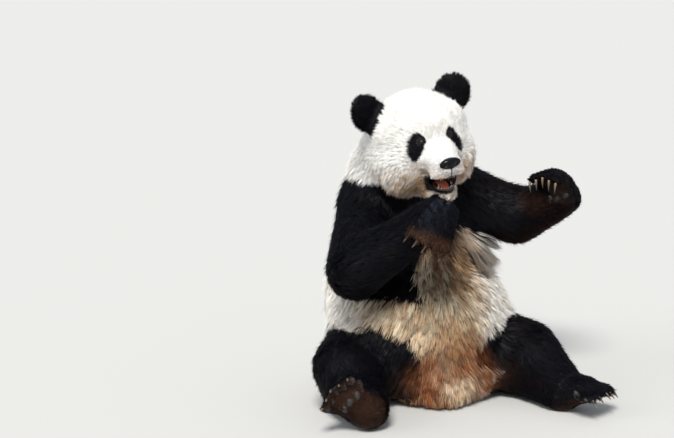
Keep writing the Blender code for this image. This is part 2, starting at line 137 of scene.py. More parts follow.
LIMBS = {}
for side in SIDES:
    for chain, trunk in ((("upper_arm", "forearm", "hand"), "chest"), (("thigh", "shin", "foot"), "belly")):
        upper, lower, paw = (part + "_" + side for part in chain)
        claws = [middle("claw_%s_%d" % (paw, k)) for k in range(1, 6)]
        stops = (joint(upper, trunk), joint(upper, lower), joint(lower, paw), sum(claws, Vector()) / 5)
        LIMBS.update(zip((upper, lower, paw), zip(stops, stops[1:])))
print("head at", [round(v, 3) for v in HEAD_AT])
for name, (start, end) in LIMBS.items():
    print(name, [round(v, 3) for v in start], "to", [round(v, 3) for v in end])


def paw_axes(name):
    """A paw's own axes: -Y towards the claws, +X from its first claw to its fifth, +Z out of its back."""
    start, end = LIMBS[name]
    across = middle("claw_%s_5" % name) - middle("claw_%s_1" % name)
    y = (start - end).normalized()
    x = (across - y * across.dot(y)).normalized()
    return Matrix((x, y, x.cross(y))).transposed()


# %% [markdown]
# ## Small helpers for shapes
# Each bare piece starts as a bmesh and is linked in one place. Its object stays at the origin, and its place
# is in its mesh.
# %% Making and settling pieces
def linked(name, data):
    """A new object at the origin, linked to the scene."""
    thing = bpy.data.objects.new(name, data)
    bpy.context.scene.collection.objects.link(thing)
    return thing


def form_of(mesh):
    """A bmesh of a mesh, to work on."""
    form = bmesh.new()
    form.from_mesh(mesh)
    return form


def put_in(form, mesh):
    form.to_mesh(mesh)
    form.free()
    return mesh


def add_piece(name, form, smooth=True):
    """Turn a bmesh into a linked object."""
    mesh = put_in(form, bpy.data.meshes.new(name))
    if smooth:
        mesh.shade_smooth()
    return linked(name, mesh)


def made_mesh(thing):
    """The mesh that an object's modifiers or its bevel make of it."""
    bpy.context.view_layer.update()
    graph = bpy.context.evaluated_depsgraph_get()
    return bpy.data.meshes.new_from_object(thing.evaluated_get(graph), depsgraph=graph)


def settle(piece):
    """Replace a piece's mesh by what its modifiers make of it."""
    mesh = made_mesh(piece)
    piece.modifiers.clear()
    piece.data = mesh


def ball(form, centre, radii, turn=Matrix.Identity(3), fineness=3):
    place = Matrix.Translation(centre) @ turn.to_4x4() @ Matrix.Diagonal((*radii, 1))
    return bmesh.ops.create_icosphere(form, subdivisions=fineness, radius=1.0, matrix=place)["verts"]


def merged_node(name, grow=0.0):
    """A copy of a CAD node with its loose triangles joined up, optionally a little larger all round."""
    form = form_of(frame["nodes"][name].data)
    bmesh.ops.remove_doubles(form, verts=form.verts, dist=0.00001)
    form.normal_update()
    for vert, move in [(vert, vert.normal * grow) for vert in form.verts]:
        vert.co += move
    return form


def aim(thing, way):
    """Turn a camera or a light to look along a way."""
    thing.rotation_mode = "QUATERNION"
    thing.rotation_quaternion = way.to_track_quat("-Z", "Y")


# %% [markdown]
# ## Camera
# A long lens from the panda's right front, a little above it, keeps the animal's proportions calm.
# %% Camera
CAMERA_AZIMUTH, CAMERA_RISE, CAMERA_AWAY = -25.0, 15.0, 6.2     # degrees, degrees, metres
CAMERA_LENS = 110.4                                             # mm, on a 36 mm sensor
CAMERA_AIM = Vector((-0.1603, 0.3255, 0.4840))


def make_camera():
    turn, rise = math.radians(CAMERA_AZIMUTH), math.radians(CAMERA_RISE)
    back = Vector((math.sin(turn) * math.cos(rise), -math.cos(turn) * math.cos(rise), math.sin(rise)))
    camera = linked("camera", bpy.data.cameras.new("camera"))
    camera.data.lens, camera.data.sensor_width = CAMERA_LENS, 36.0
    camera.location = CAMERA_AIM + back * CAMERA_AWAY
    aim(camera, -back)
    bpy.context.scene.camera = camera
    return camera


print("camera at", [round(v, 3) for v in make_camera().location])


# %% [markdown]
# ## One skin under the coat
# The flesh was parted only to name its parts. The skin is made by growing each part until the thin cuts
# close, filling the sockets of the eyes and claws, and remeshing the lot into one closed surface. It is
# then thinned where the body is plain and kept fine on the face and the paws.
# %% Melting the flesh together
CUT_CLOSING = 0.0007      # a little over half of the cut between two parts
SKIN_VOXEL = 0.0036
SKIN_TRIANGLES = 150000
FLOOR_LEFT = 0.0010       # nothing of the coat comes nearer the floor than this
FLESH_INLAYS = ["nose", "tongue", "teeth_upper", "teeth_lower"]
SOCKET_BACK, SOCKET_SLACK = 0.0025, 0.0008            # an eye's socket lies deeper than it and is wider
CLAW_BALLS, CLAW_BALL = (0.0, 0.12, 0.24), 0.0072     # balls round a claw's root: places along it, and radius


def claw_line(name):
    """Middle of a claw's inner end, and its tip."""
    points = node_points(name)
    paw = middle(name.replace("claw_", "").rsplit("_", 1)[0])
    tip = points[np.argmax(np.linalg.norm(points - np.array(paw), axis=1))]
    far = np.argsort(-np.linalg.norm(points - tip, axis=1))[:5]
    return Vector(points[far].mean(axis=0)), Vector(tip)


def joined_flesh():
    whole = bmesh.new()
    for name in FLESH + FLESH_INLAYS:
        mesh = put_in(merged_node(name, CUT_CLOSING), bpy.data.meshes.new("part"))
        whole.from_mesh(mesh)
        bpy.data.meshes.remove(mesh)
    for name in SLOT_OF:
        if name.startswith("eye"):
            low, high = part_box(name)
            ball(whole, middle(name) + HEAD_AXES @ Vector((0, SOCKET_BACK, 0)),
                 [(high.x - low.x) / 2 + SOCKET_SLACK] * 3)
        if name.startswith("claw"):
            root, tip = claw_line(name)
            for share in CLAW_BALLS:
                ball(whole, root.lerp(tip, share), [CLAW_BALL] * 3, fineness=2)
    return whole


def melt(piece, voxel):
    remesh = piece.modifiers.new("melt", "REMESH")
    remesh.mode, remesh.voxel_size = "VOXEL", voxel
    ease = piece.modifiers.new("ease", "SMOOTH")
    ease.factor, ease.iterations = 0.5, 4
    settle(piece)


def largest_island(piece):
    """Drop any small pocket that the remesh left inside the body."""
    form = form_of(piece.data)
    left, best = set(form.verts), set()
    while left:
        front = [left.pop()]
        island = set(front)
        while front:
            fresh = {vert for edge in front.pop().link_edges for vert in edge.verts} & left
            left -= fresh
            island |= fresh
            front += fresh
        best = max(best, island, key=len)
    bmesh.ops.delete(form, geom=[vert for vert in form.verts if vert not in best], context="VERTS")
    put_in(form, piece.data)


skin = add_piece("skin", joined_flesh())
melt(skin, SKIN_VOXEL)
largest_island(skin)
print("skin after the melt", len(skin.data.vertices), "points")
COAT_TIPS = BVHTree.FromObject(skin, bpy.context.evaluated_depsgraph_get())


# %% Thinning the plain parts
def read_rows(items, key, width, kind_of=np.float32):
    """One property of many parts of a mesh, as the rows of an array."""
    rows = np.empty(len(items) * width, kind_of)
    items.foreach_get(key, rows)
    return rows.reshape(-1, width)


def mesh_points(mesh):
    return read_rows(mesh.vertices, "co", 3).astype(float)


def thin(piece, triangles):
    """Collapse the body's edges first: the fine group keeps the face and the paws."""
    points = mesh_points(piece.data)
    spots = [(FACE_AT, 1.0, 0.14)] + [(np.array(LIMBS[paw][1]), 0.7, 0.12) for paw in PAWS]
    fine = np.max([most - np.linalg.norm(points - at, axis=1) / reach for at, most, reach in spots], axis=0)
    group = piece.vertex_groups.new(name="fine")
    for index in np.nonzero(fine > 0)[0]:
        group.add([int(index)], float(min(fine[index] * 2.0, 1.0)), "REPLACE")
    lean = piece.modifiers.new("lean", "DECIMATE")
    lean.ratio = triangles / (2.0 * len(piece.data.polygons))
    lean.vertex_group, lean.invert_vertex_group, lean.vertex_group_factor = "fine", True, 4.0
    settle(piece)
    piece.vertex_groups.clear()
    form = form_of(piece.data)
    bmesh.ops.triangulate(form, faces=form.faces)
    put_in(form, piece.data)


thin(skin, SKIN_TRIANGLES)
near_face = np.linalg.norm(mesh_points(skin.data) - FACE_AT, axis=1) < 0.10
print("skin thinned to", len(skin.data.vertices), "points, on the face", int(near_face.sum()))


# %% [markdown]
# ## Numbers that live on the skin
# The coat is grown by rules that change from place to place: how deep it is, how long, which way it lies.
# Each rule is a number kept at every point of the skin. Averaging a number with its neighbours' makes a
# sharp change soft, which is how the rules of two parts of the body run into each other.
# %% Skin as arrays
EDGES = read_rows(skin.data.edges, "vertices", 2, np.int32)
FACES = read_rows(skin.data.polygons, "vertices", 3, np.int32)
DEGREE = np.bincount(EDGES.ravel(), minlength=len(skin.data.vertices)).astype(float)


def around(values):
    """At each point, the mean of its neighbours' values."""
    here, there = EDGES.T
    total = [np.bincount(here, column[there], len(column)) + np.bincount(there, column[here], len(column))
             for column in values.reshape(len(values), -1).T]
    return (np.array(total) / DEGREE).T.reshape(values.shape)


def spread(values, rounds, share=0.5):
    """Ease values over the skin; share may differ from point to point."""
    values = np.array(values, float)
    share = np.broadcast_to(np.asarray(share, float), len(values))
    share = share.reshape((-1,) + (1,) * (values.ndim - 1))
    for _ in range(rounds):
        values += share * (around(values) - values)
    return values


def normals_of(points):
    corners = points[FACES]
    face_normals = np.cross(corners[:, 1] - corners[:, 0], corners[:, 2] - corners[:, 0])
    total = [sum(np.bincount(corner, axis, len(points)) for corner in FACES.T) for axis in face_normals.T]
    return unit(np.array(total).T)


def ramp(values, low, high):
    """0 below low, 1 above high and smooth between them; low may be the greater."""
    share = np.clip((values - low) / (high - low), 0.0, 1.0)
    return share * share * (3.0 - 2.0 * share)


def oval(points, centre, radii, slant=0.0):
    """Distance from an oval's middle, 1 at its rim; slant turns it in the plane of x and z, in degrees."""
    angle = math.radians(slant)
    x, y, z = (points - np.array(centre)).T
    across = x * math.cos(angle) + z * math.sin(angle)
    along = -x * math.sin(angle) + z * math.cos(angle)
    return np.sqrt((across / radii[0]) ** 2 + (y / radii[1]) ** 2 + (along / radii[2]) ** 2)


def within(points, centre, radii, soft):
    """1 deep inside an oval, falling to 0 a little outside it."""
    return 1.0 - ramp(oval(points, centre, radii), 1.0 - soft, 1.0 + soft * 0.4)


def folded(local):
    """Both halves of the face laid on its left side."""
    return local * [0, 1, 1] + np.abs(local) * [1, 0, 0]


# %% Which part of the body each point belongs to
FLESH_TREE, FLESH_OWNER = node_tree(*FLESH)
OUTLINE = mesh_points(skin.data)
HEAD_OUTLINE = on_head(OUTLINE)
OWNER = np.array([FLESH_OWNER[FLESH_TREE.find_nearest(Vector(point))[2]] for point in OUTLINE])


def owned(*starts):
    """Which points belong to the nodes whose names start so."""
    return np.isin(OWNER, [k for k, name in enumerate(FLESH) if name.startswith(starts)])


def belongs(*starts, rounds=8):
    """How much each point belongs to the nodes whose names start so, soft at the borders."""
    return spread(owned(*starts), rounds)


def tree_of(places):
    tree = KDTree(len(places))
    for index, place in enumerate(places):
        tree.insert(place, index)
    tree.balance()
    return tree


def nearest(tree, points):
    """For each point, which place of a tree is nearest, and how far it is."""
    index, away = zip(*[tree.find(point)[1:] for point in points])
    return np.array(index), np.array(away)


for k, name in enumerate(FLESH):
    print(name, int((OWNER == k).sum()), "points")


# %% [markdown]
# ## How deep, how long, how fine
# A panda's coat is short and flat on the muzzle and the backs of the paws, thick on the cheeks and the
# crown, and longest on the belly and the arms. The table gives each part the depth of its coat, from skin
# to tips, the length of a tuft, and a tuft's width. The head has its own rules, because it changes fastest.
# %% The coat's measures
COAT_TABLE = {             # depth, length and width of a tuft, in millimetres
    "head": (12, 25, 1.9), "jaw": (4, 10, 1.5), "ear": (9, 20, 1.6), "neck": (18, 40, 2.7),
    "chest": (20, 50, 3.2), "belly": (23, 60, 3.2), "tail": (14, 42, 3.0),
    "upper_arm": (17, 46, 3.1), "forearm": (14, 42, 3.0), "hand": (6, 18, 2.2),
    "thigh": (17, 44, 3.2), "shin": (14, 38, 3.0), "foot": (6, 17, 2.2),
}
ARMPIT_AT, ARMPIT_HALF = np.array([0.128, 0.004, 0.474]), (0.046, 0.080, 0.058)
ARMPIT_MEASURE = (20, 118, 3.2)
PAW_BLEND = 1.5            # the coat at a wrist or ankle, in coats of the paw beyond it


def kind(name):
    return name.replace("_left", "").replace("_right", "")


measures = np.array([COAT_TABLE[kind(name)] for name in FLESH])[OWNER] / 1000.0


def draw_toward(measure, share):
    """Bring the coat's measures to one that is given in millimetres, where share is 1."""
    measures[:] += (np.array(measure) / 1000.0 - measures) * share[:, None]


HX, HY, HZ = HEAD_OUTLINE.T
ON_HEAD = owned("head", "jaw").astype(float)
MUZZLE = 1.0 - ramp(oval(HEAD_OUTLINE, (0, -0.150, -0.045), (0.062, 0.075, 0.060)), 0.75, 1.35)
BROW = ramp(-HY, 0.030, 0.095) * (1.0 - ramp(np.abs(HX), 0.060, 0.100))
EYES = np.array([middle("eye_" + side) for side in SIDES])
eye_away = np.min([np.linalg.norm(OUTLINE - eye, axis=1) for eye in EYES], axis=0)
EYE_NEAR = 1.0 - ramp(eye_away, 0.018, 0.034)
PATCH_NEAR = 1.0 - ramp(oval(folded(HEAD_OUTLINE), (0.057, -0.100, 0.012), (0.040, 0.070, 0.052)), 0.75, 1.15)
CHEEK = ramp(np.abs(HX) - 0.35 * HZ, 0.070, 0.125) * ramp(-HZ, -0.020, 0.050) * ramp(HY, -0.090, -0.040)
UNDER = ramp(-HZ, 0.050, 0.100) * ramp(np.abs(HX), 0.040, 0.070)
ARMPIT = 1.0 - ramp(oval(OUTLINE, ARMPIT_AT, ARMPIT_HALF), 0.5, 1.15)
for share, measure in ((CHEEK, (17, 42, 2.3)), (UNDER, (15, 46, 2.2)), (BROW, (7, 15, 1.6)),
                       (PATCH_NEAR, (6, 12, 1.4)), (EYE_NEAR, (3, 8, 1.2)), (MUZZLE, (1.8, 6.5, 1.0))):
    draw_toward(measure, share * ON_HEAD)
draw_toward(ARMPIT_MEASURE, ARMPIT)
for name, (start, end) in LIMBS.items():
    if name.startswith(("forearm", "shin")):
        along = np.array(end - start)
        along = ((OUTLINE - np.array(start)) @ along) / (along @ along) * owned(name)
        paw = COAT_TABLE["hand" if "forearm" in name else "foot"]
        draw_toward(np.array(paw) * PAW_BLEND, 0.85 * ramp(along, 0.65, 1.0))
measures = spread(measures, 6)
ON_EAR = belongs("ear", rounds=2)
HANGING = np.max([0.85 * ARMPIT, 0.45 * CHEEK * ramp(-HZ, 0.020, 0.080) * ON_HEAD, 0.80 * ON_EAR,
                  0.70 * ON_HEAD * UNDER * (1.0 - MUZZLE)], axis=0)      # how free of the body tufts hang
SHAGGY = 0.95 * ramp(-HZ, -0.005, 0.055) * ramp(np.abs(HX) - 0.9 * HY, 0.050, 0.105) * ON_HEAD
SHAGGY += ((1.0 - ramp(np.abs(OUTLINE[:, 0] + 0.06), 0.12, 0.24)) * ramp(-OUTLINE[:, 1], -0.10, 0.04)
           * (1.0 - ON_HEAD))
SHAGGY = spread(np.clip(SHAGGY, 0.0, 1.0), 4)
DEPTH = measures[:, 0] * (1.0 - 0.86 * (1.0 - ramp(OUTLINE[:, 2], 0.004, 0.045)))      # pressed on the floor
LENGTH, WIDTH = measures[:, 1], measures[:, 2]
print("coat depth mm", round(DEPTH.min() * 1000, 1), "to", round(DEPTH.max() * 1000, 1))


# %% [markdown]
# ## The open mouth
# The lips are the rim of the wedge that the mouth opens in. The points inside the wedge are the lining of
# the mouth, and the points within a few millimetres of it outside are the bare black lips, narrower above
# than below.
# %% Lining and lips
MOUTH_ROOF, MOUTH_SLACK = -0.0700, 0.0022      # the wedge's upper face, on the head's own z
MOUTH_SECTIONS = ((-0.044, -0.090, 0.024), (-0.085, -0.100, 0.040), (-0.116, -0.109, 0.050),
                  (-0.215, -0.150, 0.064))
LIP_WIDTH = 0.0105


def mouth_at(y):
    """The wedge's floor and half its width; each section is how far forward it is, then these two."""
    forward, floor, half = (np.array(column) for column in zip(*MOUTH_SECTIONS))
    return np.interp(-y, -forward, floor), np.interp(-y, -forward, half)


mouth_floor, mouth_half = mouth_at(HY)
LINING = ((HZ < MOUTH_ROOF + MOUTH_SLACK) & (HZ > mouth_floor - MOUTH_SLACK)
          & (np.abs(HX) < mouth_half + MOUTH_SLACK) & (HY < MOUTH_SECTIONS[0][0] + MOUTH_SLACK)) * ON_HEAD
near_mouth = (ON_HEAD > 0.5) & (HY < -0.02) & (HZ < 0.0)
LIP_AWAY = np.full(len(OUTLINE), 1.0)
LIP_AWAY[near_mouth] = nearest(tree_of(OUTLINE[LINING > 0.5]), OUTLINE[near_mouth])[1]
lip_width = LIP_WIDTH * (1.0 - 0.45 * ramp(HZ, MOUTH_ROOF - 0.006, MOUTH_ROOF + 0.002))
LIPS = (1.0 - ramp(LIP_AWAY / lip_width, 0.60, 1.0)) * (1.0 - LINING)
print("points in the mouth", int(LINING.sum()), "on the lips", int((LIPS > 0.5).sum()))


# %% [markdown]
# ## Laying the skin inside the coat
# The remeshed outline still shows the flat faces it came from, so it is eased, more on the body than on the
# face. Then each point moves in, square to the surface, until it lies as deep as its coat.
# %% Easing and sinking
BARE_DEPTH = 0.0006
CURL, CURL_AT, CURL_WIDTH = 0.0016, 0.0035, 0.0028      # how the lips curl out round the mouth
FINE_PARTS = np.clip(belongs("hand", "foot", rounds=4) + ON_HEAD * 0.7 + belongs("ear", rounds=4), 0.0, 1.0)
EAR_AWAY = nearest(tree_of(OUTLINE[owned("ear")]), OUTLINE)[1]
CALM = 0.55 * (1.0 - 0.80 * FINE_PARTS) * (1.0 - 0.8 * LINING)
eased = spread(OUTLINE, 16, np.maximum(CALM, 0.6 * ON_HEAD * (1.0 - ramp(EAR_AWAY, 0.020, 0.045))))


def depth_below_tips(points):
    """How far each point lies inside the outline of the coat's tips."""
    deep = []
    for point in map(Vector, points):
        place, normal, _, away = COAT_TIPS.find_nearest(point)
        deep.append(away if (place - point).dot(normal) > 0 else -away)
    return np.array(deep)


bare = np.clip(LINING + LIPS, 0.0, 1.0)
wanted = DEPTH * (1.0 - bare) + BARE_DEPTH * bare
move = spread(wanted - depth_below_tips(eased), 5, 0.5 * (1.0 - LINING))
SKIN_POINTS = spread(eased - normals_of(eased) * move[:, None], 3, CALM)
lip_curl = CURL * np.exp(-((LIP_AWAY - CURL_AT) / CURL_WIDTH) ** 2) * (1.0 - LINING)
SKIN_POINTS += normals_of(SKIN_POINTS) * lip_curl[:, None]
SKIN_POINTS[:, 2] = np.maximum(SKIN_POINTS[:, 2], FLOOR_LEFT + 0.0002)
SKIN_NORMALS = normals_of(SKIN_POINTS)
skin.data.vertices.foreach_set("co", SKIN_POINTS.astype(np.float32).ravel())
skin.data.update()
print("skin sunk by", round(float(move.mean()) * 1000, 1), "mm on average")


# %% [markdown]
# ## Which way the hair lies
# Hair points away from the nose, down the neck and trunk, and down each limb to the claws. At each point
# that rule gives a direction, which is laid flat on the skin and then eased, so that the hair turns gently
# where two rules meet.
# %% Lie of the coat
DOWN = np.array([0.0, 0.0, -1.0])
HAIR_FROM = (0.0, -0.235, -0.020)      # the face's hair leaves this place before the nose, on the head's axes
FAN_FROM = (0.092, 0.018, 0.518)       # the armpit's fringe spreads from here


def away_from(centre, points):
    return unit(points - np.array(centre))


def lie_of(name, points):
    """The direction of the hair on one node, at each of its points."""
    part = kind(name)
    if part == "jaw":
        return (unit(np.array([0.0, 0.8, -0.5]) + on_head(points) * [9.0, 0.0, 0.0])) @ np.array(HEAD_AXES).T
    if part == "head":
        local = on_head(points)
        back = away_from(HAIR_FROM, local)
        back[:, 2] -= 0.95 * ramp(np.abs(local[:, 0]), 0.04, 0.12) * ramp(-local[:, 2], -0.04, 0.05)
        return back @ np.array(HEAD_AXES).T
    if part == "ear":
        return away_from(joint(name, "head") - HEAD_AXES @ Vector((0, 0, 0.02)), points)
    if part == "neck":
        return DOWN + away_from(HEAD_AT, points) * [0.6, 0.8, 0.3]
    if part in ("chest", "belly"):
        outward = unit((points - np.array(middle(part))) * [1, 1, 0])
        fan = ramp(-points[:, 1], -0.06, 0.02)[:, None] * points[:, :1] * [4.05, 0.0, 0.0]
        fringe = (1.0 - ramp(np.linalg.norm(points - ARMPIT_AT, axis=1), 0.05, 0.11))[:, None]
        return DOWN + 0.35 * outward + fan + fringe * [1.5, 0.15, 0.35]
    if part == "tail":
        return DOWN + np.array([0, 0.4, 0])
    start, end = LIMBS[name]
    return np.array((end - start).normalized()) + 0.30 * DOWN + np.zeros_like(points)


def flattened(directions, normals):
    return unit(directions - normals * (directions * normals).sum(axis=1, keepdims=True))


flow = np.zeros_like(SKIN_POINTS)
for k, name in enumerate(FLESH):
    flow[OWNER == k] = unit(lie_of(name, SKIN_POINTS[OWNER == k]))
FLOW = flattened(spread(flattened(flow, SKIN_NORMALS), 10), SKIN_NORMALS)
under_head = np.array(HEAD_AXES @ Vector((0, 0.10, -0.80)))
sideways = np.sign(HX)[:, None] * np.array(HEAD_AXES @ Vector((0.45, 0, 0)))
HANG_WAY = unit(FLOW * 0.4 + under_head + sideways + 0.45 * SKIN_NORMALS)
HANG_WAY += (away_from(FAN_FROM, SKIN_POINTS) + [0.45, -0.30, -0.04] - HANG_WAY) * (ARMPIT > 0.01)[:, None]
HANG_WAY = unit(HANG_WAY + (SKIN_NORMALS + 0.55 * FLOW - HANG_WAY) * (ON_EAR > 0.3)[:, None])
print("lie of the coat set at", len(FLOW), "points")


# %% [markdown]
# ## Markings
# One function gives the colour of the coat at any place, and both the skin and the fur ask it, so they always
# agree. It works from three numbers kept on the skin: how black a place is, how brown its black has worn, and
# how much of the rusty lap it is. The black parts start as whole nodes. Then the black runs on round the
# roots of the ears and down beside the lap, and gives way to brown on the breast.
# %% Where the coat is black
_, SY, SZ = SKIN_POINTS.T
HEAD_SHARE = spread(ON_HEAD + owned("ear"), 2)
ON_TRUNK = belongs("chest", "belly", rounds=2)


def trunk_mark(centre, radii, soft):
    return within(SKIN_POINTS, centre, radii, soft) * ON_TRUNK


MARKS = (       # black or not, and where
    (True, (1.0 - ramp(EAR_AWAY, 0.016, 0.026)) * ON_HEAD),                         # the ears' roots
    (False, trunk_mark((0.055, -0.080, 0.390), (0.150, 0.190, 0.165), 0.35)),       # the breast
    (True, trunk_mark((-0.215, -0.090, 0.125), (0.150, 0.190, 0.170), 0.25)),       # beside the lap
    (True, trunk_mark((0.225, -0.110, 0.175), (0.175, 0.190, 0.080), 0.25)),
    (True, ramp(0.690 - 0.30 * SY - SZ, -0.006, 0.006) * belongs("neck", "chest", rounds=1) * (SZ > 0.56)),
    (False, trunk_mark((0.155, 0.010, 0.425), (0.075, 0.130, 0.085), 0.4)),         # below the armpit
    (False, trunk_mark((-0.165, 0.170, 0.715), (0.085, 0.110, 0.060), 0.3)),        # behind the shoulder
)
BLACK_SHARE = belongs(*BLACK_NODES, rounds=3)
for is_black, share in MARKS:
    BLACK_SHARE = np.maximum(BLACK_SHARE, share) if is_black else BLACK_SHARE * (1.0 - share)
print("black share of the skin", round(float(BLACK_SHARE.mean()), 2))


# %% Where it is worn brown or stained
def sole(name):
    """How squarely each point of a paw faces out of its sole."""
    below = np.array(paw_axes(name) @ Vector((0, 0, -1)))
    return ramp(SKIN_NORMALS @ below, 0.15, 0.65) * belongs(name, rounds=3)


def toward_claws(name):
    """The end of a paw that the claws are on."""
    start, end = (np.array(place) for place in LIMBS[name])
    along = ((SKIN_POINTS - start) @ (end - start)) / ((end - start) ** 2).sum()
    return ramp(along, 0.45, 0.80) * belongs(name, rounds=2)


LAP = within(SKIN_POINTS, (0.012, -0.150, 0.108), (0.182, 0.170, 0.162), 0.40)
WORN = spread(np.max([
    0.60 * within(SKIN_POINTS, (0.005, -0.130, 0.085), (0.200, 0.230, 0.130), 0.40),
    0.80 * sole("foot_right"), 0.60 * sole("foot_left"), 0.75 * sole("hand_right"), 0.55 * sole("hand_left"),
    0.40 * ramp(-SKIN_NORMALS[:, 2], 0.2, 0.9) * belongs("forearm_left", "upper_arm_left"),
    0.45 * within(SKIN_POINTS, (0.295, -0.030, 0.560), (0.060, 0.090, 0.050), 0.7),
    0.85 * toward_claws("hand_right")], axis=0), 4)
print("worn share", round(float(WORN.mean()), 3), "lap share", round(float(LAP.mean()), 3))


# %% Colour of the coat
WHITE = np.array([0.900, 0.885, 0.850])
CREAM = np.array([0.820, 0.690, 0.500])
PALE = CREAM * [1.05, 0.98, 0.98]
TAN = np.array([0.430, 0.255, 0.130])
RUST = np.array([0.270, 0.090, 0.032])
BLACK = np.array([0.0034, 0.0036, 0.0066])
SOOT = np.array([0.060, 0.026, 0.014])
# painted sheen: blue painted where the short black hair on the back of the right paw catches the light
PAINTED_SHEEN_BLUE = np.array([0.024, 0.032, 0.052])      # where the short black hair shines on the back of the paw
GREY = np.array([0.560, 0.590, 0.640])
PATCHES = (             # ovals round each eye and over its lid, on the head's axes: middle, radii and slant
    ((-0.0580, -0.100, 0.0205), (0.0215, 0.070, 0.0395), -22),
    ((0.0550, -0.100, 0.0175), (0.0155, 0.070, 0.0390), 21),
    ((-0.0435, -0.105, 0.034), (0.0150, 0.070, 0.0155), 0),
    ((0.0435, -0.105, 0.034), (0.0150, 0.070, 0.0155), 0),
)
WAVES = 7
STREAKED = (0.30, 0.030, 4)             # a pattern's stretch, size and seed
# the trunk's washes of colour: colour, middle, radii, softness, strength, unevenness, and the pattern they
# follow
WASHES = (
    (TAN * 0.70, (0.030, -0.060, 0.450), (0.110, 0.160, 0.125), 0.7, 0.90, 0.50, STREAKED),
    # darkest brown low on the breast, below the chin and the right paw
    (SOOT * 0.8, (0.010, -0.080, 0.480), (0.085, 0.140, 0.110), 0.6, 0.85, 0.40, STREAKED),
    (RUST, None, None, None, 0.95, 0.35, (1.0, 0.040, 5)),      # over the whole lap
    (TAN, (0.010, -0.150, 0.255), (0.100, 0.100, 0.070), 0.8, 0.70, 0.50, STREAKED),
    # a thin, level darker band across the belly
    (TAN * 0.35, (0.015, -0.150, 0.178), (0.060, 0.100, 0.013), 0.8, 0.90, 0.0, STREAKED),
    (PALE, (0.022, -0.190, 0.088), (0.092, 0.100, 0.062), 0.4, 1.00, 0.30, (1.0, 0.020, 12)),
)


def ripple(points, size, seed):
    """A soft random pattern from -1 to 1 whose blots are about size metres across."""
    dice = np.random.default_rng(seed)
    total = np.zeros(len(points))
    for _ in range(WAVES):
        way = dice.normal(size=3)
        way *= math.tau / (size * np.linalg.norm(way) * dice.uniform(0.8, 1.9))
        total += np.sin(points @ way + dice.uniform(0, math.tau))
    return total / WAVES * 1.8


def blend(colours, other, share):
    return colours + (other - colours) * np.clip(share, 0.0, 1.0)[:, None]


def coat_colour(points, black, head, worn, lap):
    """Colour of the coat at each point, and whether it is one of the black marks."""
    local, trunk = on_head(points), 1.0 - head
    x, y, z = points.T
    # trunk: whiter at the flanks and behind, stained down the front in streaks
    front = ramp(-y, -0.14, 0.06) * (1.0 - ramp(np.abs(x + 0.07), 0.09, 0.21)) * trunk
    body = 1.0 - ramp(z, 0.60, 0.68)
    colour = blend(np.tile(WHITE, (len(points), 1)), CREAM, 0.16 * body + 0.84 * front * body)
    colour = blend(colour, TAN, front * body * (0.32 + 0.55 * ripple(points * [1.0, 1.0, 0.30], 0.030, 4)))
    for wash, centre, radii, soft, strength, uneven, (stretch, size, seed) in WASHES:
        place = lap if centre is None else within(points, centre, radii, soft) * trunk
        pattern = ripple(points * [1.0, 1.0, stretch], size, seed)
        colour = blend(colour, wash, place * (strength + uneven * pattern))
    # face: yellowed low on the cheeks and along the jaw, blue-grey on the muzzle
    cheek = ramp(-local[:, 2], 0.010, 0.085) * ramp(np.abs(local[:, 0]) - 0.3 * local[:, 1], 0.020, 0.070)
    colour = blend(colour, TAN * [1.25, 1.30, 1.30], cheek * head * (0.56 + 0.46 * ripple(points, 0.018, 6)))
    corner = within(folded(local), (0.060, -0.080, -0.092), (0.026, 0.045, 0.036), 0.8)
    colour = blend(colour, TAN * 0.55, corner * 0.75 * head)
    colour = blend(colour, GREY, 0.55 * within(local, (0, -0.155, -0.042), (0.056, 0.060, 0.046), 0.6) * head)
    # black: ragged at its edges, worn to brown, and with a painted blue sheen on the back of the right paw
    reach = np.min([oval(local, *patch) for patch in PATCHES], axis=0) + 0.04 * ripple(local, 0.012, 3)
    dark = ramp(black + 0.10 * ripple(points, 0.018, 8), 0.42, 0.58)
    dark = np.maximum(dark, (1.0 - ramp(reach, 0.92, 1.04)) * head)
    night = blend(np.tile(BLACK, (len(points), 1)), SOOT, worn + 0.05 * ripple(points, 0.05, 9))
    night = blend(night, RUST * 0.70, (lap - 0.45) * 1.2)
    # painted sheen: a blue highlight painted into the black fur on the back of the right paw
    painted_sheen = within(points, (-0.140, -0.260, 0.665), (0.075, 0.090, 0.055), 0.8)
    night = blend(night, PAINTED_SHEEN_BLUE, painted_sheen * (0.35 + 0.7 * ripple(points, 0.015, 14)) * (1.0 - worn))
    return blend(colour, night, dark), dark


LIP_BLACK = np.array([0.0060, 0.0050, 0.0055])
# painted shade: the mouth's lining is painted a very dark red that falls to near black deeper in, towards the
# throat
MOUTH_RED, THROAT_SHADE = np.array([0.035, 0.007, 0.006]), np.array([0.012, 0.004, 0.004])
skin_colour = coat_colour(SKIN_POINTS, BLACK_SHARE, HEAD_SHARE, WORN, LAP)[0]
nose_away = oval(on_head(SKIN_POINTS), (0, -0.1770, -0.0290), (0.0290, 0.0190, 0.0165))
# the skin is 0.85 of the coat's colour on the body; on the head it is painted light, a little brighter than
# the coat, to stand in for the light that white fur scatters into the gaps between tufts
skin_colour = blend(skin_colour * (0.85 + 0.20 * HEAD_SHARE[:, None]), LIP_BLACK,
                    np.maximum(LIPS, 1.0 - ramp(nose_away, 0.94, 1.04)))
lining_colour = blend(np.tile(THROAT_SHADE, (len(SKIN_POINTS), 1)), MOUTH_RED, ramp(-HY, 0.060, 0.120))


def paint(mesh, colours):
    """Keep a colour at every point of a mesh, for its material to read."""
    rows = np.ones((len(mesh.vertices), 4), np.float32)
    rows[:, :3] = colours
    layer = mesh.color_attributes.new(name="coat_colour", type="FLOAT_COLOR", domain="POINT")
    layer.data.foreach_set("color", rows.ravel())


paint(skin.data, blend(skin_colour, lining_colour, LINING))


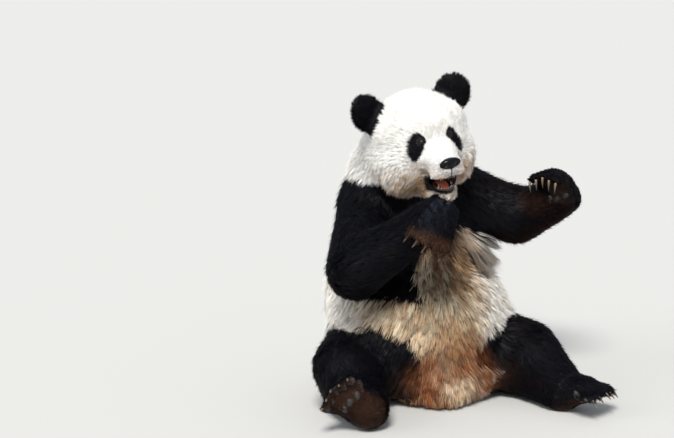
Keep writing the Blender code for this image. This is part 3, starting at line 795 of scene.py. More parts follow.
# %% [markdown]
# ## Materials
# A tuft is a few dozen hairs. The shader draws them as fine streaks that run from its root to its tip, from
# two numbers kept on it: how far across the tuft and how far along it a point lies. Every material here
# starts from a painted colour and ends in a little relief, and a recipe says what comes between.
# %% Hair streaks and the materials
def feed(tree, node, inputs):
    """Give each input of a node its value, or the socket that it is linked to."""
    for key, value in inputs.items():
        if isinstance(value, bpy.types.NodeSocket):
            tree.links.new(value, node.inputs[key])
        else:
            node.inputs[key].default_value = value
    return node


def add_node(tree, sort, inputs, out=0, **settings):
    """Add a shader node, and give back one of its output sockets."""
    node = tree.nodes.new("ShaderNode" + sort)
    for key, value in settings.items():
        setattr(node, key, value)
    return feed(tree, node, inputs).outputs[out]


def hair_streaks():
    group = bpy.data.node_groups.new("hair streaks", "ShaderNodeTree")
    for way, label, sort in (("INPUT", "Colour", "Color"), ("INPUT", "Contrast", "Float"),
                             ("INPUT", "Hairs", "Float"), ("OUTPUT", "Colour", "Color"),
                             ("OUTPUT", "Height", "Float")):
        group.interface.new_socket(label, in_out=way, socket_type="NodeSocket" + sort)
    given = group.nodes.new("NodeGroupInput").outputs
    strand = add_node(group, "Attribute", {}, "Vector", attribute_name="strand")
    count = add_node(group, "CombineXYZ", {"X": given["Hairs"], "Y": 1.2, "Z": 40.0})
    drawn = add_node(group, "VectorMath", {0: strand, 1: count}, operation="MULTIPLY")
    hairs = add_node(group, "TexNoise", {"Vector": drawn, "Scale": 1.0, "Detail": 2.0}, "Fac")
    low = add_node(group, "Math", {0: 1.0, 1: given["Contrast"]}, operation="SUBTRACT")
    shade = add_node(group, "MapRange", {"Value": hairs, "From Min": 0.35, "From Max": 0.60, "To Min": low})
    darker = add_node(group, "VectorMath", {0: given["Colour"], "Scale": shade}, operation="SCALE")
    feed(group, group.nodes.new("NodeGroupOutput"), {"Colour": darker, "Height": hairs})
    return group


def new_material(name, inputs):
    material = bpy.data.materials.new(name)
    material.use_nodes = True
    feed(material.node_tree, material.node_tree.nodes["Principled BSDF"], inputs)
    return material


def painted_material(name, recipe, strength, depth, inputs):
    """A material whose recipe makes its colour and its relief from the painted colour."""
    material = new_material(name, inputs)
    tree = material.node_tree
    colour, height = recipe(tree, add_node(tree, "Attribute", {}, "Color", attribute_name="coat_colour"))
    bump = add_node(tree, "Bump", {"Strength": strength, "Distance": depth, "Height": height})
    feed(tree, tree.nodes["Principled BSDF"], {"Base Color": colour, "Normal": bump})
    return material


STREAKS = hair_streaks()


def coat_material(name, roughness, specular, sheen, tint, contrast):
    def streaked(tree, painted):
        streaks = add_node(tree, "Group", {}, node_tree=STREAKS).node
        feed(tree, streaks, {"Colour": painted, "Contrast": contrast, "Hairs": 3.2})
        return streaks.outputs["Colour"], streaks.outputs["Height"]

    return painted_material(name, streaked, 0.5, 0.001, {
        "Roughness": roughness, "Specular IOR Level": specular,
        "Sheen Weight": sheen, "Sheen Roughness": 0.45, "Sheen Tint": (*tint, 1.0)})


def wet_material(name, roughness, coat, grain, depth, specular=0.5):
    """Bare moist skin or horn: uneven in tone, with a fine grain and a clear wet coat."""
    def grained(tree, painted):
        place = add_node(tree, "TexCoord", {}, "Object")
        uneven = add_node(tree, "TexNoise", {"Vector": place, "Scale": grain * 0.4}, "Fac")
        tone = add_node(tree, "MapRange", {"Value": uneven, "To Min": 0.72, "To Max": 1.22})
        tinted = add_node(tree, "VectorMath", {0: painted, "Scale": tone}, operation="SCALE")
        return tinted, add_node(tree, "TexVoronoi", {"Vector": place, "Scale": grain}, "Distance")

    return painted_material(name, grained, 0.6, depth, {
        "Roughness": roughness, "Specular IOR Level": specular, "Coat Weight": coat, "Coat Roughness": 0.08})


def thin_haired(tree, painted):
    place = add_node(tree, "TexCoord", {}, "Object")
    return painted, add_node(tree, "TexNoise", {"Vector": place, "Scale": 700.0, "Detail": 3.0}, "Fac")


WHITE_COAT = coat_material("white fur", 0.75, 0.20, 0.10, (1.0, 0.98, 0.94), 0.22)
BLACK_COAT = coat_material("black fur", 0.50, 0.10, 0.0, (0.60, 0.72, 1.00), 0.50)
HIDE = painted_material("skin", thin_haired, 0.35, 0.0010, {"Roughness": 0.62, "Specular IOR Level": 0.35})
EYE_WET = wet_material("wet eye", 0.07, 0.1, 500.0, 0.00001, 0.30)
LEATHER = wet_material("nose leather", 0.20, 0.0, 600.0, 0.0002, 0.17)
LIP_SKIN = wet_material("lip skin", 0.36, 0.0, 600.0, 0.0004, 0.14)
TONGUE_WET = wet_material("tongue", 0.26, 0.9, 500.0, 0.0012)
ENAMEL = wet_material("enamel", 0.22, 0.5, 300.0, 0.0001)
GUM = wet_material("gum", 0.30, 0.5, 700.0, 0.0003)
HORN = wet_material("horn", 0.42, 0.10, 500.0, 0.0002)
PAD_SKIN = wet_material("pad leather", 0.58, 0.0, 700.0, 0.0006)


def finish_piece(piece, material, slot, *nodes):
    """Every bare piece ends the same way: its material, its body, and the nodes it stands for, which it hides;
    slot is not used.
    """
    piece.data.materials.clear()
    piece.data.materials.append(material)
    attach(piece, "root")
    if nodes:
        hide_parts(*nodes)
    print(piece.name, len(piece.data.polygons), "faces")


skin.data.shade_smooth()
finish_piece(skin, HIDE, "white_coat", *FLESH)


# %% [markdown]
# ## Eyes and lids
# A panda's eye is small, dark brown and wet, and its lids are bare black skin, drawn to a point at the inner
# corner. The ball is a fine sphere with a slight bulge over the iris. The lids are one band, spun flat as a
# ring from the outline of its section, and then bent over the ball, which keeps them the same thickness all
# round.
# %% Eyeballs
EYE_RADIUS = 0.0115
EYE_DEEPER = 0.0022          # set back, so that the lids and not the ball stand out
CORNEA, CORNEA_BULGE = math.radians(34), 0.10
IRIS_STEPS = ((0.22, (0.0015, 0.0012, 0.0012)), (0.30, (0.012, 0.006, 0.004)), (0.52, (0.020, 0.010, 0.006)),
              (0.60, (0.003, 0.002, 0.002)), (1.00, (0.014, 0.009, 0.008)))


def bare_piece(name, form, colours, material, slot, *nodes):
    """A finished piece from a bmesh, painted in one colour or with one for each of its points."""
    piece = add_piece(name, form)
    paint(piece.data, colours)
    finish_piece(piece, material, slot, *nodes)


def points_of(form):
    return np.array([vert.co for vert in form.verts])


def stepped(values, steps):
    """Colours read from a short list of (value, colour) steps, blended between them."""
    places = [step[0] for step in steps]
    return np.stack([np.interp(values, places, [step[1][k] for step in steps]) for k in range(3)], axis=1)


def eye_place(side):
    """Centre of an eye, and its axes: -Y along its gaze, +Z up the face."""
    gaze = (HEAD_AXES @ Vector((SIDES[side] * 0.30, -1.0, -0.04))).normalized()
    across = (-gaze).cross(HEAD_AXES @ Vector((0, 0, 1))).normalized()
    turn = Matrix((across, -gaze, across.cross(-gaze))).transposed()
    return middle("eye_" + side) - gaze * EYE_DEEPER, turn


def make_eyeball(side):
    centre, turn = eye_place(side)
    form = bmesh.new()
    bmesh.ops.create_uvsphere(form, u_segments=40, v_segments=28, radius=1.0,
                              matrix=Matrix.Rotation(math.pi / 2, 4, "X"))
    angles = [math.acos(max(-1.0, min(1.0, -vert.co.y))) for vert in form.verts]
    for vert, angle in zip(form.verts, angles):
        bulge = CORNEA_BULGE * max(0.0, 1.0 - (angle / CORNEA) ** 2)
        vert.co = centre + turn @ (vert.co * EYE_RADIUS * (1.0 + bulge))
    colours = stepped(np.array(angles) / (math.pi / 2), IRIS_STEPS)
    bare_piece("eyeball_" + side, form, colours, EYE_WET, "eye", "eye_" + side)


# %% Lids
LID_OPENING = (math.radians(50), math.radians(33))
LID_SECTION = ((1.00, -0.0010), (0.97, 0.0006), (1.05, 0.0016), (1.25, 0.0016), (1.60, 0.0006),
               (1.95, -0.0016), (1.70, -0.0034), (1.00, -0.0034))      # share of the opening, height in metres
LID_POINT, LID_SLANT = 0.35, 0.06


def make_lids(side):
    centre, turn = eye_place(side)
    form = bmesh.new()
    rim = [form.verts.new((share, 0.0, lift)) for share, lift in LID_SECTION]
    edges = [form.edges.new(pair) for pair in zip(rim, rim[1:] + rim[:1])]
    bmesh.ops.spin(form, geom=rim + edges, axis=(0, 0, 1), cent=(0, 0, 0), angle=math.tau, steps=40,
                   use_merge=True)
    for vert in form.verts:
        across, up, lift = vert.co
        corner = (across / math.hypot(across, up)) ** 2
        pointed = up * (1.0 - LID_POINT * corner) - LID_SLANT * across * SIDES[side]
        wide = Matrix.Rotation(across * LID_OPENING[0], 3, "Z")
        tall = Matrix.Rotation(-pointed * LID_OPENING[1], 3, "X")
        vert.co = centre + turn @ wide @ tall @ Vector((0, -(EYE_RADIUS + lift), 0))
    bmesh.ops.recalc_face_normals(form, faces=form.faces)
    bare_piece("lids_" + side, form, LIP_BLACK, LIP_SKIN, "nose_leather")


for make in (make_eyeball, make_lids):
    for side in SIDES:
        make(side)


# %% [markdown]
# ## Nose
# The pad is broad above and drawn in below, dipped in the middle of its upper edge, with two comma-shaped
# nostrils and a groove that runs on down to the lip. A fine ball is pressed to that shape by a rule for each
# point, which gives soft pits that a cutter would leave sharp.
# %% Nose pad
NOSE_HALF = (0.0315, 0.0150, 0.0158)
# painted shade: the nostrils' pits are painted darker than the rest of the pad
NOSE_BLACK, PIT_SHADE = np.array([0.0030, 0.0028, 0.0045]), np.array([0.0008, 0.0006, 0.0006])
NOSTRILS = (((0.0150, -0.0305), (0.0062, 0.0044), 0.0085), ((0.0225, -0.0345), (0.0060, 0.0020), 0.0050))


def pit_reach(x, z, place, radii):
    """How far a point is from a nostril's pit, squared, 1 at its rim; the pits are alike on both sides."""
    return ((abs(x) - place[0]) / radii[0]) ** 2 + ((z - place[1]) / radii[1]) ** 2


def nose_point(x, y, z):
    """A point of the unit ball pressed to the pad's shape, on the head's own axes."""
    wide = NOSE_HALF[0] + 0.0060 * z - 0.0035 * max(-z, 0.0) ** 2
    dip = 0.0020 * math.exp(-(x / 0.22) ** 2) * max(z, 0.0)
    height = z * NOSE_HALF[2] - dip - 0.0035 * x * x      # the outer ends droop
    place = Vector((x * wide, -0.1770 + y * NOSE_HALF[1] - 0.0030 * z, -0.0285 + height))
    for centre, radii, depth in NOSTRILS:
        place.y += depth * math.exp(-pit_reach(place.x, place.z, centre, radii)) * max(-y, 0.0)
    place.y += 0.0016 * math.exp(-(place.x / 0.0016) ** 2) * max(-y, 0.0) * (1.0 if z < 0.3 else 0.4)
    return place


def make_nose():
    form = bmesh.new()
    ball(form, Vector(), (1, 1, 1), fineness=5)
    for vert in form.verts:
        vert.co = HEAD @ nose_point(*vert.co)
    x, _, z = on_head(points_of(form)).T
    reach = np.min([pit_reach(x, z, centre, radii) for centre, radii, _ in NOSTRILS], axis=0)
    # painted shade: the pad darkens inside the nostril pits
    colours = blend(np.tile(NOSE_BLACK, (len(x), 1)), PIT_SHADE, 1.0 - ramp(np.sqrt(reach), 0.7, 1.3))
    bare_piece("nose_pad", form, colours, LEATHER, "nose_leather", "nose")


make_nose()


# %% [markdown]
# ## Lips
# The lips are a soft black rope round the opening. Its path isn't typed in: it is the border between the
# lining of the mouth and the rest of the skin, taken round the mouth in even steps and eased.
# %% A tube along a path
def tube_form(path, radii, closed=False):
    """A round tube, thicker or thinner from point to point, as a bmesh with its ends closed."""
    curve = bpy.data.curves.new("tube", "CURVE")
    curve.dimensions, curve.bevel_depth, curve.bevel_resolution = "3D", 1.0, 3
    curve.use_fill_caps = not closed
    line = curve.splines.new("POLY")
    line.points.add(len(path) - 1)
    for spot, place, radius in zip(line.points, path, radii):
        spot.co, spot.radius = (*place, 1.0), radius
    line.use_cyclic_u = closed
    rope = linked("tube", curve)
    form = form_of(made_mesh(rope))
    bpy.data.objects.remove(rope, do_unlink=True)
    bmesh.ops.remove_doubles(form, verts=form.verts, dist=0.00001)
    bmesh.ops.recalc_face_normals(form, faces=form.faces)
    return form


# %% Lip rim
LIP_STEPS = 48
SKIN_SURFACE = BVHTree.FromObject(skin, bpy.context.evaluated_depsgraph_get())


def mouth_rim():
    """Points round the mouth's edge, from the panda's left corner over the upper lip."""
    crossing = EDGES[(LINING[EDGES[:, 0]] != LINING[EDGES[:, 1]]) & (HZ[EDGES[:, 0]] > -0.150)]
    middles = SKIN_POINTS[crossing].mean(axis=1)
    x, y, z = on_head(middles).T
    low, wide = mouth_at(y)
    tall = (MOUTH_ROOF - low) / 2
    angles = np.arctan2((z - low - tall) / tall, x / wide)
    rim = []
    for angle in np.arange(LIP_STEPS) * math.tau / LIP_STEPS:
        off = np.abs((angles - angle + math.pi) % math.tau - math.pi)
        weight = np.exp(-(off / 0.10) ** 2)
        rim.append((middles * weight[:, None]).sum(axis=0) / weight.sum())
    for _ in range(2):
        rim = (np.roll(rim, 1, axis=0) + 2 * np.array(rim) + np.roll(rim, -1, axis=0)) / 4
    return rim


def make_lips():
    rim, angles = mouth_rim(), np.arange(LIP_STEPS) * math.tau / LIP_STEPS
    radii = 0.0041 - 0.0016 * np.clip(np.sin(angles), 0.0, 1.0) - 0.0011 * np.cos(angles)
    bare_piece("lips", tube_form(rim, radii, closed=True), LIP_BLACK, LIP_SKIN, "nose_leather")
    print("left corner, upper lip, right corner, lower lip", *on_head(rim)[::LIP_STEPS // 4].round(3))


def make_philtrum():
    """The bare groove from the pad to the upper lip, laid on the skin."""
    path = []
    for step in range(9):
        start = HEAD @ Vector((0, -0.26, -0.042 - 0.0038 * step))
        hit = SKIN_SURFACE.ray_cast(start, HEAD_AXES @ Vector((0, 1, 0)))[0]
        if hit is not None and (hit - start).length < 0.12:
            path.append(hit)
    form = tube_form(path, np.linspace(0.0020, 0.0014, len(path)))
    bare_piece("philtrum", form, LIP_BLACK, LIP_SKIN, "nose_leather")


make_lips()
make_philtrum()


# %% [markdown]
# ## Tongue, gums and teeth
# Inside the mouth little shows: the wet tongue between two rows of teeth. Each tooth is a ball pressed to a
# peg, broad at the gum and narrower at its edge, and the canines are drawn out and pointed. The gums are a
# tube along the same arch.
# %% Tongue
TONGUE_Y, TONGUE_Z, TONGUE_HALF, TONGUE_SLOPE = -0.0930, -0.1040, (0.0190, 0.0330, 0.0085), 0.34
TONGUE_RED, GUM_RED = (0.780, 0.200, 0.105), (0.110, 0.030, 0.028)


def make_tongue():
    form = bmesh.new()
    ball(form, Vector(), (1, 1, 1), fineness=4)
    bumps = np.random.default_rng(31).normal(size=len(form.verts)) * 0.00018
    for vert, bump in zip(form.verts, bumps):
        x, y, z = vert.co
        groove = 0.0013 * math.exp(-(x / 0.22) ** 2) * max(z, 0.0)
        along = y * TONGUE_HALF[1]
        height = TONGUE_Z + TONGUE_SLOPE * along + z * TONGUE_HALF[2] - groove + bump
        vert.co = HEAD @ Vector((x * (TONGUE_HALF[0] + 0.0030 * y), TONGUE_Y + along, height))
    bare_piece("tongue_blade", form, TONGUE_RED, TONGUE_WET, "tongue", "tongue")


make_tongue()

# %% Gums and teeth
TOOTH_SPOTS = ((0.12, 0.0078, 0.0030), (0.38, 0.0078, 0.0030), (0.64, 0.0082, 0.0032), (0.94, 0.0140, 0.0044),
               (1.28, 0.0055, 0.0038), (1.62, 0.0055, 0.0042))      # place round the arch, height, half width
CANINE = 3
ARCHES = {"lower": (-0.1290, -0.1120, 0.36, 0.0245, 1), "upper": (-0.1560, -0.0700, 0.00, 0.0265, -1)}
ENAMEL_STEPS = ((0.0, (0.46, 0.34, 0.19)), (0.5, (0.70, 0.62, 0.45)), (1.2, (0.82, 0.78, 0.66)))
TOOTH_SUNK, GUM_LOWER, GUM_RADIUS = 0.0025, 0.0012, 0.0042


def arch_place(row, share):
    """A place on a row's arch, 0 in the middle; minus is the panda's right."""
    front, level, slope, half, _ = ARCHES[row]
    angle = share * math.radians(62)
    back = half * 1.35 * (1 - math.cos(angle))
    return HEAD @ Vector((half * math.sin(angle), front + back, level + slope * back)), angle


def make_teeth(row):
    rise = ARCHES[row][4]
    form = bmesh.new()
    for side in (-1, 1):
        for spot, (share, height, half) in enumerate(TOOTH_SPOTS):
            root, angle = arch_place(row, side * share)
            turn = HEAD_AXES @ Matrix.Rotation(angle, 3, "Z")
            pointed, leaning = (0.80, 0.0022) if spot == CANINE else (0.28, 0.0)
            for vert in ball(form, Vector(), (1, 1, 1)):
                x, y, z = vert.co
                along = (z + 1.0) / 2
                thick = half * (1.0 - pointed * along ** 1.3)
                vert.co = root + turn @ Vector((x * thick, y * 0.80 * thick + leaning * along ** 2,
                                                rise * (along * height - TOOTH_SUNK)))
    bmesh.ops.recalc_face_normals(form, faces=form.faces)
    from_gum = np.abs(on_head(points_of(form))[:, 2] - ARCHES[row][1]) / 0.008
    bare_piece("teeth_row_" + row, form, stepped(from_gum, ENAMEL_STEPS), ENAMEL, "teeth", "teeth_" + row)
    lower = HEAD_AXES @ Vector((0, 0, rise * GUM_LOWER))
    path = [arch_place(row, share)[0] - lower for share in np.linspace(-1.9, 1.9, 24)]
    bare_piece("gum_" + row, tube_form(path, [GUM_RADIUS] * len(path)), GUM_RED, GUM, "tongue")


for row in ARCHES:
    make_teeth(row)


# %% [markdown]
# ## Claws
# The claw's shape is right in the frame but has few sides. A merged copy is smoothed by subdivision, and its
# horn is painted dark at the root and paler, worn and streaked towards the tip.
# %% Horn claws
HORN_STEPS = ((0.0, (0.030, 0.022, 0.017)), (0.40, (0.090, 0.066, 0.046)), (0.75, (0.170, 0.130, 0.088)),
              (1.0, (0.240, 0.195, 0.140)))


def make_claws(paw):
    form, names, alongs = bmesh.new(), ["claw_%s_%d" % (paw, k) for k in range(1, 6)], []
    for name in names:
        root, tip = claw_line(name)
        claw = add_piece(name + "_smooth", merged_node(name))
        rounder = claw.modifiers.new("rounder", "SUBSURF")
        rounder.levels = rounder.render_levels = 2
        settle(claw)
        form.from_mesh(claw.data)
        away = mesh_points(claw.data) - np.array(root)
        alongs.append(np.linalg.norm(away, axis=1) / (tip - root).length)
        bpy.data.objects.remove(claw, do_unlink=True)
    bare_piece("claws_" + paw, form, stepped(np.concatenate(alongs), HORN_STEPS), HORN, "claw_horn", *names)


for paw in PAWS:
    make_claws(paw)


# %% [markdown]
# ## Paw pads
# Each sole has a bare pad under every toe and a broad one behind them, all grey-black leather. Each is a ball
# pressed flat and set where a line into the sole meets the skin, so that only its crown stands out of it.
# %% Pads
TOE_PAD, BROAD_PAD = (0.0095, 0.0120, 0.0060), (0.0115, 0.0150, 0.0065)
TOE_BACK, BROAD_BACK, BROAD_CURVE = 0.016, 0.048, 0.004      # behind the claws' roots, and more at the sides
PAD_GREY = (0.024, 0.020, 0.020)


def make_pads(paw):
    turn = paw_axes(paw)
    below = turn @ Vector((0, 0, -1))
    form = bmesh.new()
    roots = [claw_line("claw_%s_%d" % (paw, k))[0] for k in range(1, 6)]
    spots = [(root, TOE_BACK, TOE_PAD) for root in roots]
    spots += [(root, BROAD_BACK + BROAD_CURVE * abs(k - 2), BROAD_PAD) for k, root in enumerate(roots)]
    for root, back, radii in spots:
        spot = root + turn @ Vector((0, back, 0))
        place, normal = SKIN_SURFACE.ray_cast(spot + below * 0.10, -below, 0.12)[:2]
        if place is not None and place.z > radii[2] + FLOOR_LEFT:
            ball(form, place - normal * radii[2] * 0.35, radii, normal.to_track_quat("Z", "Y").to_matrix())
    bare_piece("pads_" + paw, form, PAD_GREY, PAD_SKIN, "nose_leather")


for paw in PAWS:
    make_pads(paw)


# %% [markdown]
# ## Growing the coat
# A tuft is a slim closed spindle: a point sunk in the skin, one or two three-sided rings, and a tip. It
# follows a curve that leaves the skin and bends over to lie along it. Neighbouring tufts lean their tips
# together into locks. All the tufts of one part of the body are one mesh made from arrays, because there
# are far too many for modelling one by one.
# %% One tuft, many times
RINGS = {1: ((0.40, 1.0),), 2: ((0.26, 1.0), (0.64, 0.74))}       # how far along each ring is, and its width
RING_SHAPE = np.array([[0.5, 0.0], [0.0, 0.42], [-0.5, 0.0]])     # across and up, in widths of the tuft


def tuft_faces(rings):
    """Triangles of one tuft: root 0, then each ring's three points, then the tip."""
    tip = 1 + 3 * rings
    faces = [(0, 1 + k, 1 + (k + 1) % 3) for k in range(3)]
    for ring in range(rings - 1):
        for k in range(3):
            a, b = 1 + 3 * ring + k, 1 + 3 * ring + (k + 1) % 3
            faces += [(a, b + 3, b), (a, a + 3, b + 3)]
    last = 1 + 3 * (rings - 1)
    faces += [(last + (k + 1) % 3, last + k, tip) for k in range(3)]
    return np.array(faces, np.int64)


def mesh_of_triangles(name, points, faces):
    mesh = bpy.data.meshes.new(name)
    mesh.vertices.add(len(points))
    mesh.vertices.foreach_set("co", points.astype(np.float32).ravel())
    mesh.loops.add(faces.size)
    mesh.loops.foreach_set("vertex_index", faces.astype(np.int32).ravel())
    mesh.polygons.add(len(faces))
    mesh.polygons.foreach_set("loop_start", np.arange(0, faces.size, 3, dtype=np.int32))
    mesh.update(calc_edges=True)
    mesh.shade_smooth()
    return mesh


def unwrapped(points, faces):
    """Corner UVs of a patch of skin, by its own shape."""
    mesh = mesh_of_triangles("patch", points, faces)
    patch = linked("patch", mesh)
    for other in bpy.context.selected_objects:
        other.select_set(False)
    patch.select_set(True)
    bpy.context.view_layer.objects.active = patch
    bpy.ops.object.mode_set(mode="EDIT")
    bpy.ops.mesh.select_all(action="SELECT")
    bpy.ops.uv.smart_project(angle_limit=math.radians(66), island_margin=0.004)
    bpy.ops.object.mode_set(mode="OBJECT")
    corners = read_rows(mesh.uv_layers.active.data, "uv", 2).reshape(-1, 3, 2).astype(float)
    bpy.data.objects.remove(patch, do_unlink=True)
    bpy.data.meshes.remove(mesh)
    return corners


def turned(directions, normals, angles):
    """Directions turned about the normals."""
    return directions * np.cos(angles)[:, None] + np.cross(normals, directions) * np.sin(angles)[:, None]


def coat_piece(name, points, strand, colours, uvs, normals, material):
    count, per_tuft = points.shape[:2]
    rings = (per_tuft - 2) // 3
    faces = (tuft_faces(rings)[None] + (np.arange(count) * per_tuft)[:, None, None]).reshape(-1, 3)
    mesh = mesh_of_triangles(name, points.reshape(-1, 3), faces)
    paint(mesh, np.clip(colours.reshape(-1, 3), 0.0, 0.95))
    layer = mesh.attributes.new("strand", "FLOAT_VECTOR", "POINT")
    layer.data.foreach_set("vector", strand.astype(np.float32).ravel())
    mesh.uv_layers.new(name="OFBake")
    corner_uvs = uvs.reshape(-1, 2)[faces.ravel()].astype(np.float32)
    mesh.uv_layers["OFBake"].data.foreach_set("uv", corner_uvs.ravel())
    mesh.normals_split_custom_set_from_vertices(normals.reshape(-1, 3).tolist())
    mesh.materials.append(material)
    piece = linked(name, mesh)
    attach(piece, "root")
    print(name, count, "tufts", len(faces), "triangles")
    return piece


# %% Where the coat grows
GROWTH = (1.0 - np.clip(LINING + LIPS * 1.2, 0, 1)) * ramp(nose_away, 0.95, 1.10)
for eye in EYES:
    GROWTH *= ramp(np.linalg.norm(SKIN_POINTS - eye, axis=1), 0.0130, 0.0160)
GROWTH *= 1.0 - ramp(-SKIN_NORMALS[:, 2], 0.80, 0.95) * (SKIN_POINTS[:, 2] < 0.012)      # not under the rump
for paw in PAWS:
    pads = mesh_points(bpy.data.objects["pads_" + paw].data)
    if len(pads):
        GROWTH *= ramp(nearest(tree_of(pads), SKIN_POINTS)[1], 0.0015, 0.0040)


# %% Growing one part of it
ROOT_SUNK = 0.0015
# painted shade: a black tuft's colour falls to this share at its root, for the shade deep in the coat
BLACK_ROOT_SHADE = np.array([0.70, 0.70, 0.70])
STRAY_SHARE = 0.07        # tufts that stand half as high again as the rest
NORMAL_BLEND = 0.62       # how far a tuft takes the light as the body under it does
BEND_AT, BEND_UP = 0.34, 0.62      # where a tuft bends over: share of its way, and of the coat's depth
UV_TUFT = 0.0030          # size of a tuft on the OFBake map
SKIN_TREE = tree_of(SKIN_POINTS)


def grow_coat(name, mine, triangles, rings=1, growth=GROWTH, lock=0.014, pull=0.55, unruly=0.16,
              roots=(0.66, 0.62, 0.58), free=0.0, longer=1.0):
    """Tufts over the faces marked in mine, as up to two pieces: the white ones and the black ones.

    growth is how thickly the coat stands at each point of the skin, lock how far apart the locks are,
    pull how far the tips lean into them, unruly how far tufts stray from the lie, in radians, roots what is
    left of a white tuft's colour at its root, which is painted shade deep in the coat and on the trunk also a
    brown tint of the roots, free how far all of them hang clear of the body, and longer how many times their
    usual length they are.
    """
    # where each tuft stands, and the numbers of the skin there
    faces = FACES[mine]
    used, local = np.unique(faces, return_inverse=True)
    corner_uvs = unwrapped(SKIN_POINTS[used], local.reshape(-1, 3))
    corners = SKIN_POINTS[faces]
    areas = np.linalg.norm(np.cross(corners[:, 1] - corners[:, 0], corners[:, 2] - corners[:, 0]), axis=1) / 2
    chance = areas * growth[faces].mean(axis=1)
    count = int(triangles / len(tuft_faces(rings)))
    chosen = CHANCE.choice(len(faces), count, p=chance / chance.sum())
    a, b = np.sqrt(CHANCE.random(count)), CHANCE.random(count)
    shares = np.stack([1 - a, a * (1 - b), a * b], axis=1)

    def here(values):
        return np.einsum("ij,ij...->i...", shares, values[faces[chosen]])

    root, normal = here(SKIN_POINTS), unit(here(SKIN_NORMALS))
    way = flattened(here(FLOW), normal)
    uv = np.einsum("ij,ijk->ik", shares, corner_uvs[chosen])
    depth, length, width, shaggy = here(DEPTH), here(LENGTH) * longer, here(WIDTH), here(SHAGGY)
    colour, dark = coat_colour(root, here(BLACK_SHARE), here(HEAD_SHARE), here(WORN), here(LAP))

    # its tip: along the lie, or hanging, and then leaning into its lock and held at the coat's height
    way = turned(way, normal, ripple(root, 0.05, 11) * 1.3 * unruly + CHANCE.normal(size=count) * unruly)
    length = length * CHANCE.uniform(0.72, 1.12, count)
    rise = depth * CHANCE.uniform(0.62, 1.02, count) * (1.0 + 0.5 * (CHANCE.random(count) < STRAY_SHARE))
    run = np.sqrt(np.maximum(length ** 2 - rise ** 2, (0.3 * here(LENGTH) * longer) ** 2))
    tip = root + way * run[:, None] + normal * rise[:, None]
    hanging = np.maximum(here(HANGING), free) * CHANCE.uniform(0.6, 1.0, count)
    tip += (root + unit(here(HANG_WAY)) * length[:, None] - tip) * hanging[:, None]
    middles = CHANCE.choice(count, max(int(areas.sum() / lock ** 2), 8), replace=False)
    mine_lock = middles[nearest(tree_of(root[middles]), root)[0]]
    lean = tip[mine_lock] - tip
    lean -= normal * (lean * normal).sum(axis=1, keepdims=True)
    reach = np.linalg.norm(lean, axis=1)
    lean *= (np.minimum(reach, run * (0.5 + 0.3 * hanging)) / np.maximum(reach, 1e-6))[:, None]
    tip = tip + lean * (pull * CHANCE.uniform(0.5, 1.0, count))[:, None]
    under = nearest(SKIN_TREE, tip)[0]
    off = rise - ((tip - SKIN_POINTS[under]) * SKIN_NORMALS[under]).sum(axis=1)
    off *= (1.0 - here(ON_EAR)) * (1.0 - hanging)
    tip += SKIN_NORMALS[under] * np.clip(off, -0.6 * depth - 0.004, depth)[:, None]

    # its rings, on the curve from root to tip
    start = root - normal * ROOT_SUNK
    control = start + (tip - start) * BEND_AT + normal * (depth * BEND_UP)[:, None]
    points = np.empty((count, 2 + 3 * rings, 3))
    strand = np.zeros((count, 2 + 3 * rings, 3))
    points[:, 0], points[:, -1], strand[:, -1, 1] = start, tip, 1.0
    roll = CHANCE.normal(size=count) * 0.20
    for ring, (t, share) in enumerate(RINGS[rings]):
        centre = start * (1 - t) ** 2 + control * 2 * t * (1 - t) + tip * t ** 2
        tangent = unit((control - start) * (1 - t) + (tip - control) * t)
        side = turned(unit(np.cross(tangent, normal)), tangent, roll)
        up = np.cross(side, tangent)
        for k, (across, over) in enumerate(RING_SHAPE):
            at = 1 + 3 * ring + k
            points[:, at] = centre + (side * across + up * over) * (width * share)[:, None]
            strand[:, at, :2] = across, t
    points[:, :, 2] = np.maximum(points[:, :, 2], FLOOR_LEFT + 0.001 * strand[:, :, 1])
    strand[:, :, 2] = CHANCE.random(count)[:, None]

    # its light, its colour and its place on the map
    facing_out = unit(points - points.mean(axis=1, keepdims=True))
    facing_out[:, [0, -1]] = normal[:, None]
    blended = (NORMAL_BLEND - 0.34 * shaggy)[:, None, None]
    normals = unit(facing_out * (1.0 - blended) + normal[:, None] * blended)
    lock_tint = CHANCE.normal(size=count)[mine_lock] * (0.06 + 0.14 * shaggy)
    tint = 1.0 + lock_tint + CHANCE.normal(size=count) * (0.05 + 0.08 * shaggy)
    stained = CHANCE.normal(size=count)[mine_lock] * 0.6 + CHANCE.normal(size=count) * 0.5
    colour = blend(colour, TAN, 0.55 * np.clip(stained, 0.0, 1.4) * shaggy * (dark < 0.5))
    # painted shade: each tuft darkens towards its root, more on shaggy parts, for the shade deep in the coat
    # and between the locks; on white tufts of the trunk the root colour also carries a brown tint
    root_shade = np.where((dark < 0.5)[:, None], np.array(roots) - 0.38 * shaggy[:, None], BLACK_ROOT_SHADE)[:, None]
    up_tuft = np.minimum(strand[:, :, 1:2] * 1.7, 1.0)
    shade = np.clip(tint, 0.6, 1.25)[:, None, None] * (root_shade + (1.0 - root_shade) * up_tuft)
    uvs = uv[:, None] + np.stack([strand[:, :, 0] * UV_TUFT, (strand[:, :, 1] - 0.5) * UV_TUFT], axis=2)
    for label, rows, material in (("white", dark < 0.5, WHITE_COAT), ("black", dark >= 0.5, BLACK_COAT)):
        if rows.sum() > 40:
            piece = coat_piece(name + "_" + label, points[rows], strand[rows], (colour[:, None] * shade)[rows],
                               uvs[rows], normals[rows], material)


# %% The whole coat
def faces_of(*starts):
    """Faces whose first corner belongs to the nodes whose names start so."""
    return owned(*starts)[FACES[:, 0]]


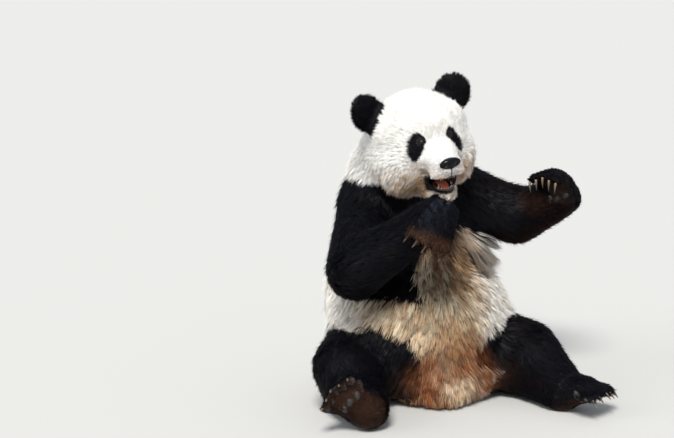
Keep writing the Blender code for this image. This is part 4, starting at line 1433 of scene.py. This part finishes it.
face_close = GROWTH * (1.0 + 2.2 * MUZZLE + 1.6 * EYE_NEAR + 0.6 * BROW)
face_side = (HY[FACES[:, 0]] < -0.045) & faces_of("head", "jaw")
front_side = (SY[FACES[:, 0]] < 0.100) & faces_of("belly")
fringe_side = (ARMPIT[FACES].mean(axis=1) > 0.15) & faces_of("chest")
# roots is each part's painted shade at the tufts' roots, partly a brown tint of the roots on the trunk
grow_coat("coat_face", face_side, 150000, growth=face_close, lock=0.006, pull=0.35, roots=(0.90, 0.89, 0.88))
grow_coat("coat_head", faces_of("head", "jaw") & ~face_side, 190000, lock=0.009, pull=0.45,
          roots=(0.86, 0.82, 0.76))
grow_coat("coat_ears", faces_of("ear"), 50000, lock=0.007, pull=0.4, unruly=0.30)
grow_coat("coat_neck", faces_of("neck"), 84000, lock=0.013, roots=(0.78, 0.73, 0.66))
grow_coat("coat_chest", faces_of("chest"), 150000, growth=GROWTH * (1.0 - 0.5 * ARMPIT), lock=0.016,
          pull=0.65, roots=(0.50, 0.40, 0.32))
grow_coat("coat_belly", front_side, 190000, lock=0.019, pull=0.80, roots=(0.52, 0.43, 0.35))
grow_coat("coat_rump", faces_of("belly", "tail") & ~front_side, 120000, lock=0.018, pull=0.7,
          roots=(0.74, 0.69, 0.62))
grow_coat("coat_fringe", fringe_side, 24000, 2, GROWTH * ARMPIT, lock=0.017, pull=1.2, longer=1.5,
          roots=(0.46, 0.38, 0.31), free=0.95)
for side in SIDES:
    for name, parts, triangles, more in (("arm", ("upper_arm", "forearm"), 104000, {"unruly": 0.22}),
                                         ("hand", ("hand",), 36000, {"lock": 0.008}),
                                         ("leg", ("thigh", "shin"), 96000, {"unruly": 0.22}),
                                         ("foot", ("foot",), 36000, {"lock": 0.008})):
        mine = faces_of(*(part + "_" + side for part in parts))
        grow_coat("coat_" + name + "_" + side, mine, triangles, **more)


# %% [markdown]
# ## Floor and light
# A plain pale floor, a bright soft sky and two broad suns. A sun lights every place on the floor alike, so
# the backdrop stays even, and its wide disc keeps the shadows soft. The high key whitens the crown and the
# shoulders, and the low one at the side draws the sheen of the black fur.
# %% Floor, sky and suns
def make_floor():
    form = bmesh.new()
    bmesh.ops.create_grid(form, x_segments=1, y_segments=1, size=30.0)
    floor = add_piece("floor", form, smooth=False)
    floor.data.materials.append(new_material("floor", {
        "Roughness": 0.90, "Specular IOR Level": 0.1, "Base Color": (0.50, 0.50, 0.49, 1.0)}))


def make_sun(name, toward, strength, width, colour):
    """A sun that shines from the way given; width is its disc in degrees."""
    sun = linked(name, bpy.data.lights.new(name, "SUN"))
    sun.data.energy, sun.data.angle, sun.data.color = strength, math.radians(width), colour
    aim(sun, -Vector(toward))


make_floor()
sky = bpy.data.worlds.new("sky")
sky.use_nodes = True
feed(sky.node_tree, sky.node_tree.nodes["Background"], {"Color": (0.88, 0.93, 1.0, 1.0), "Strength": 0.62})
bpy.context.scene.world = sky
bpy.context.scene.view_settings.view_transform = "Standard"
make_sun("key", (-0.45, -0.62, 1.10), 4.1, 20.0, (1.0, 0.97, 0.92))
make_sun("side", (-0.95, 0.10, 0.55), 0.6, 30.0, (0.96, 0.98, 1.0))
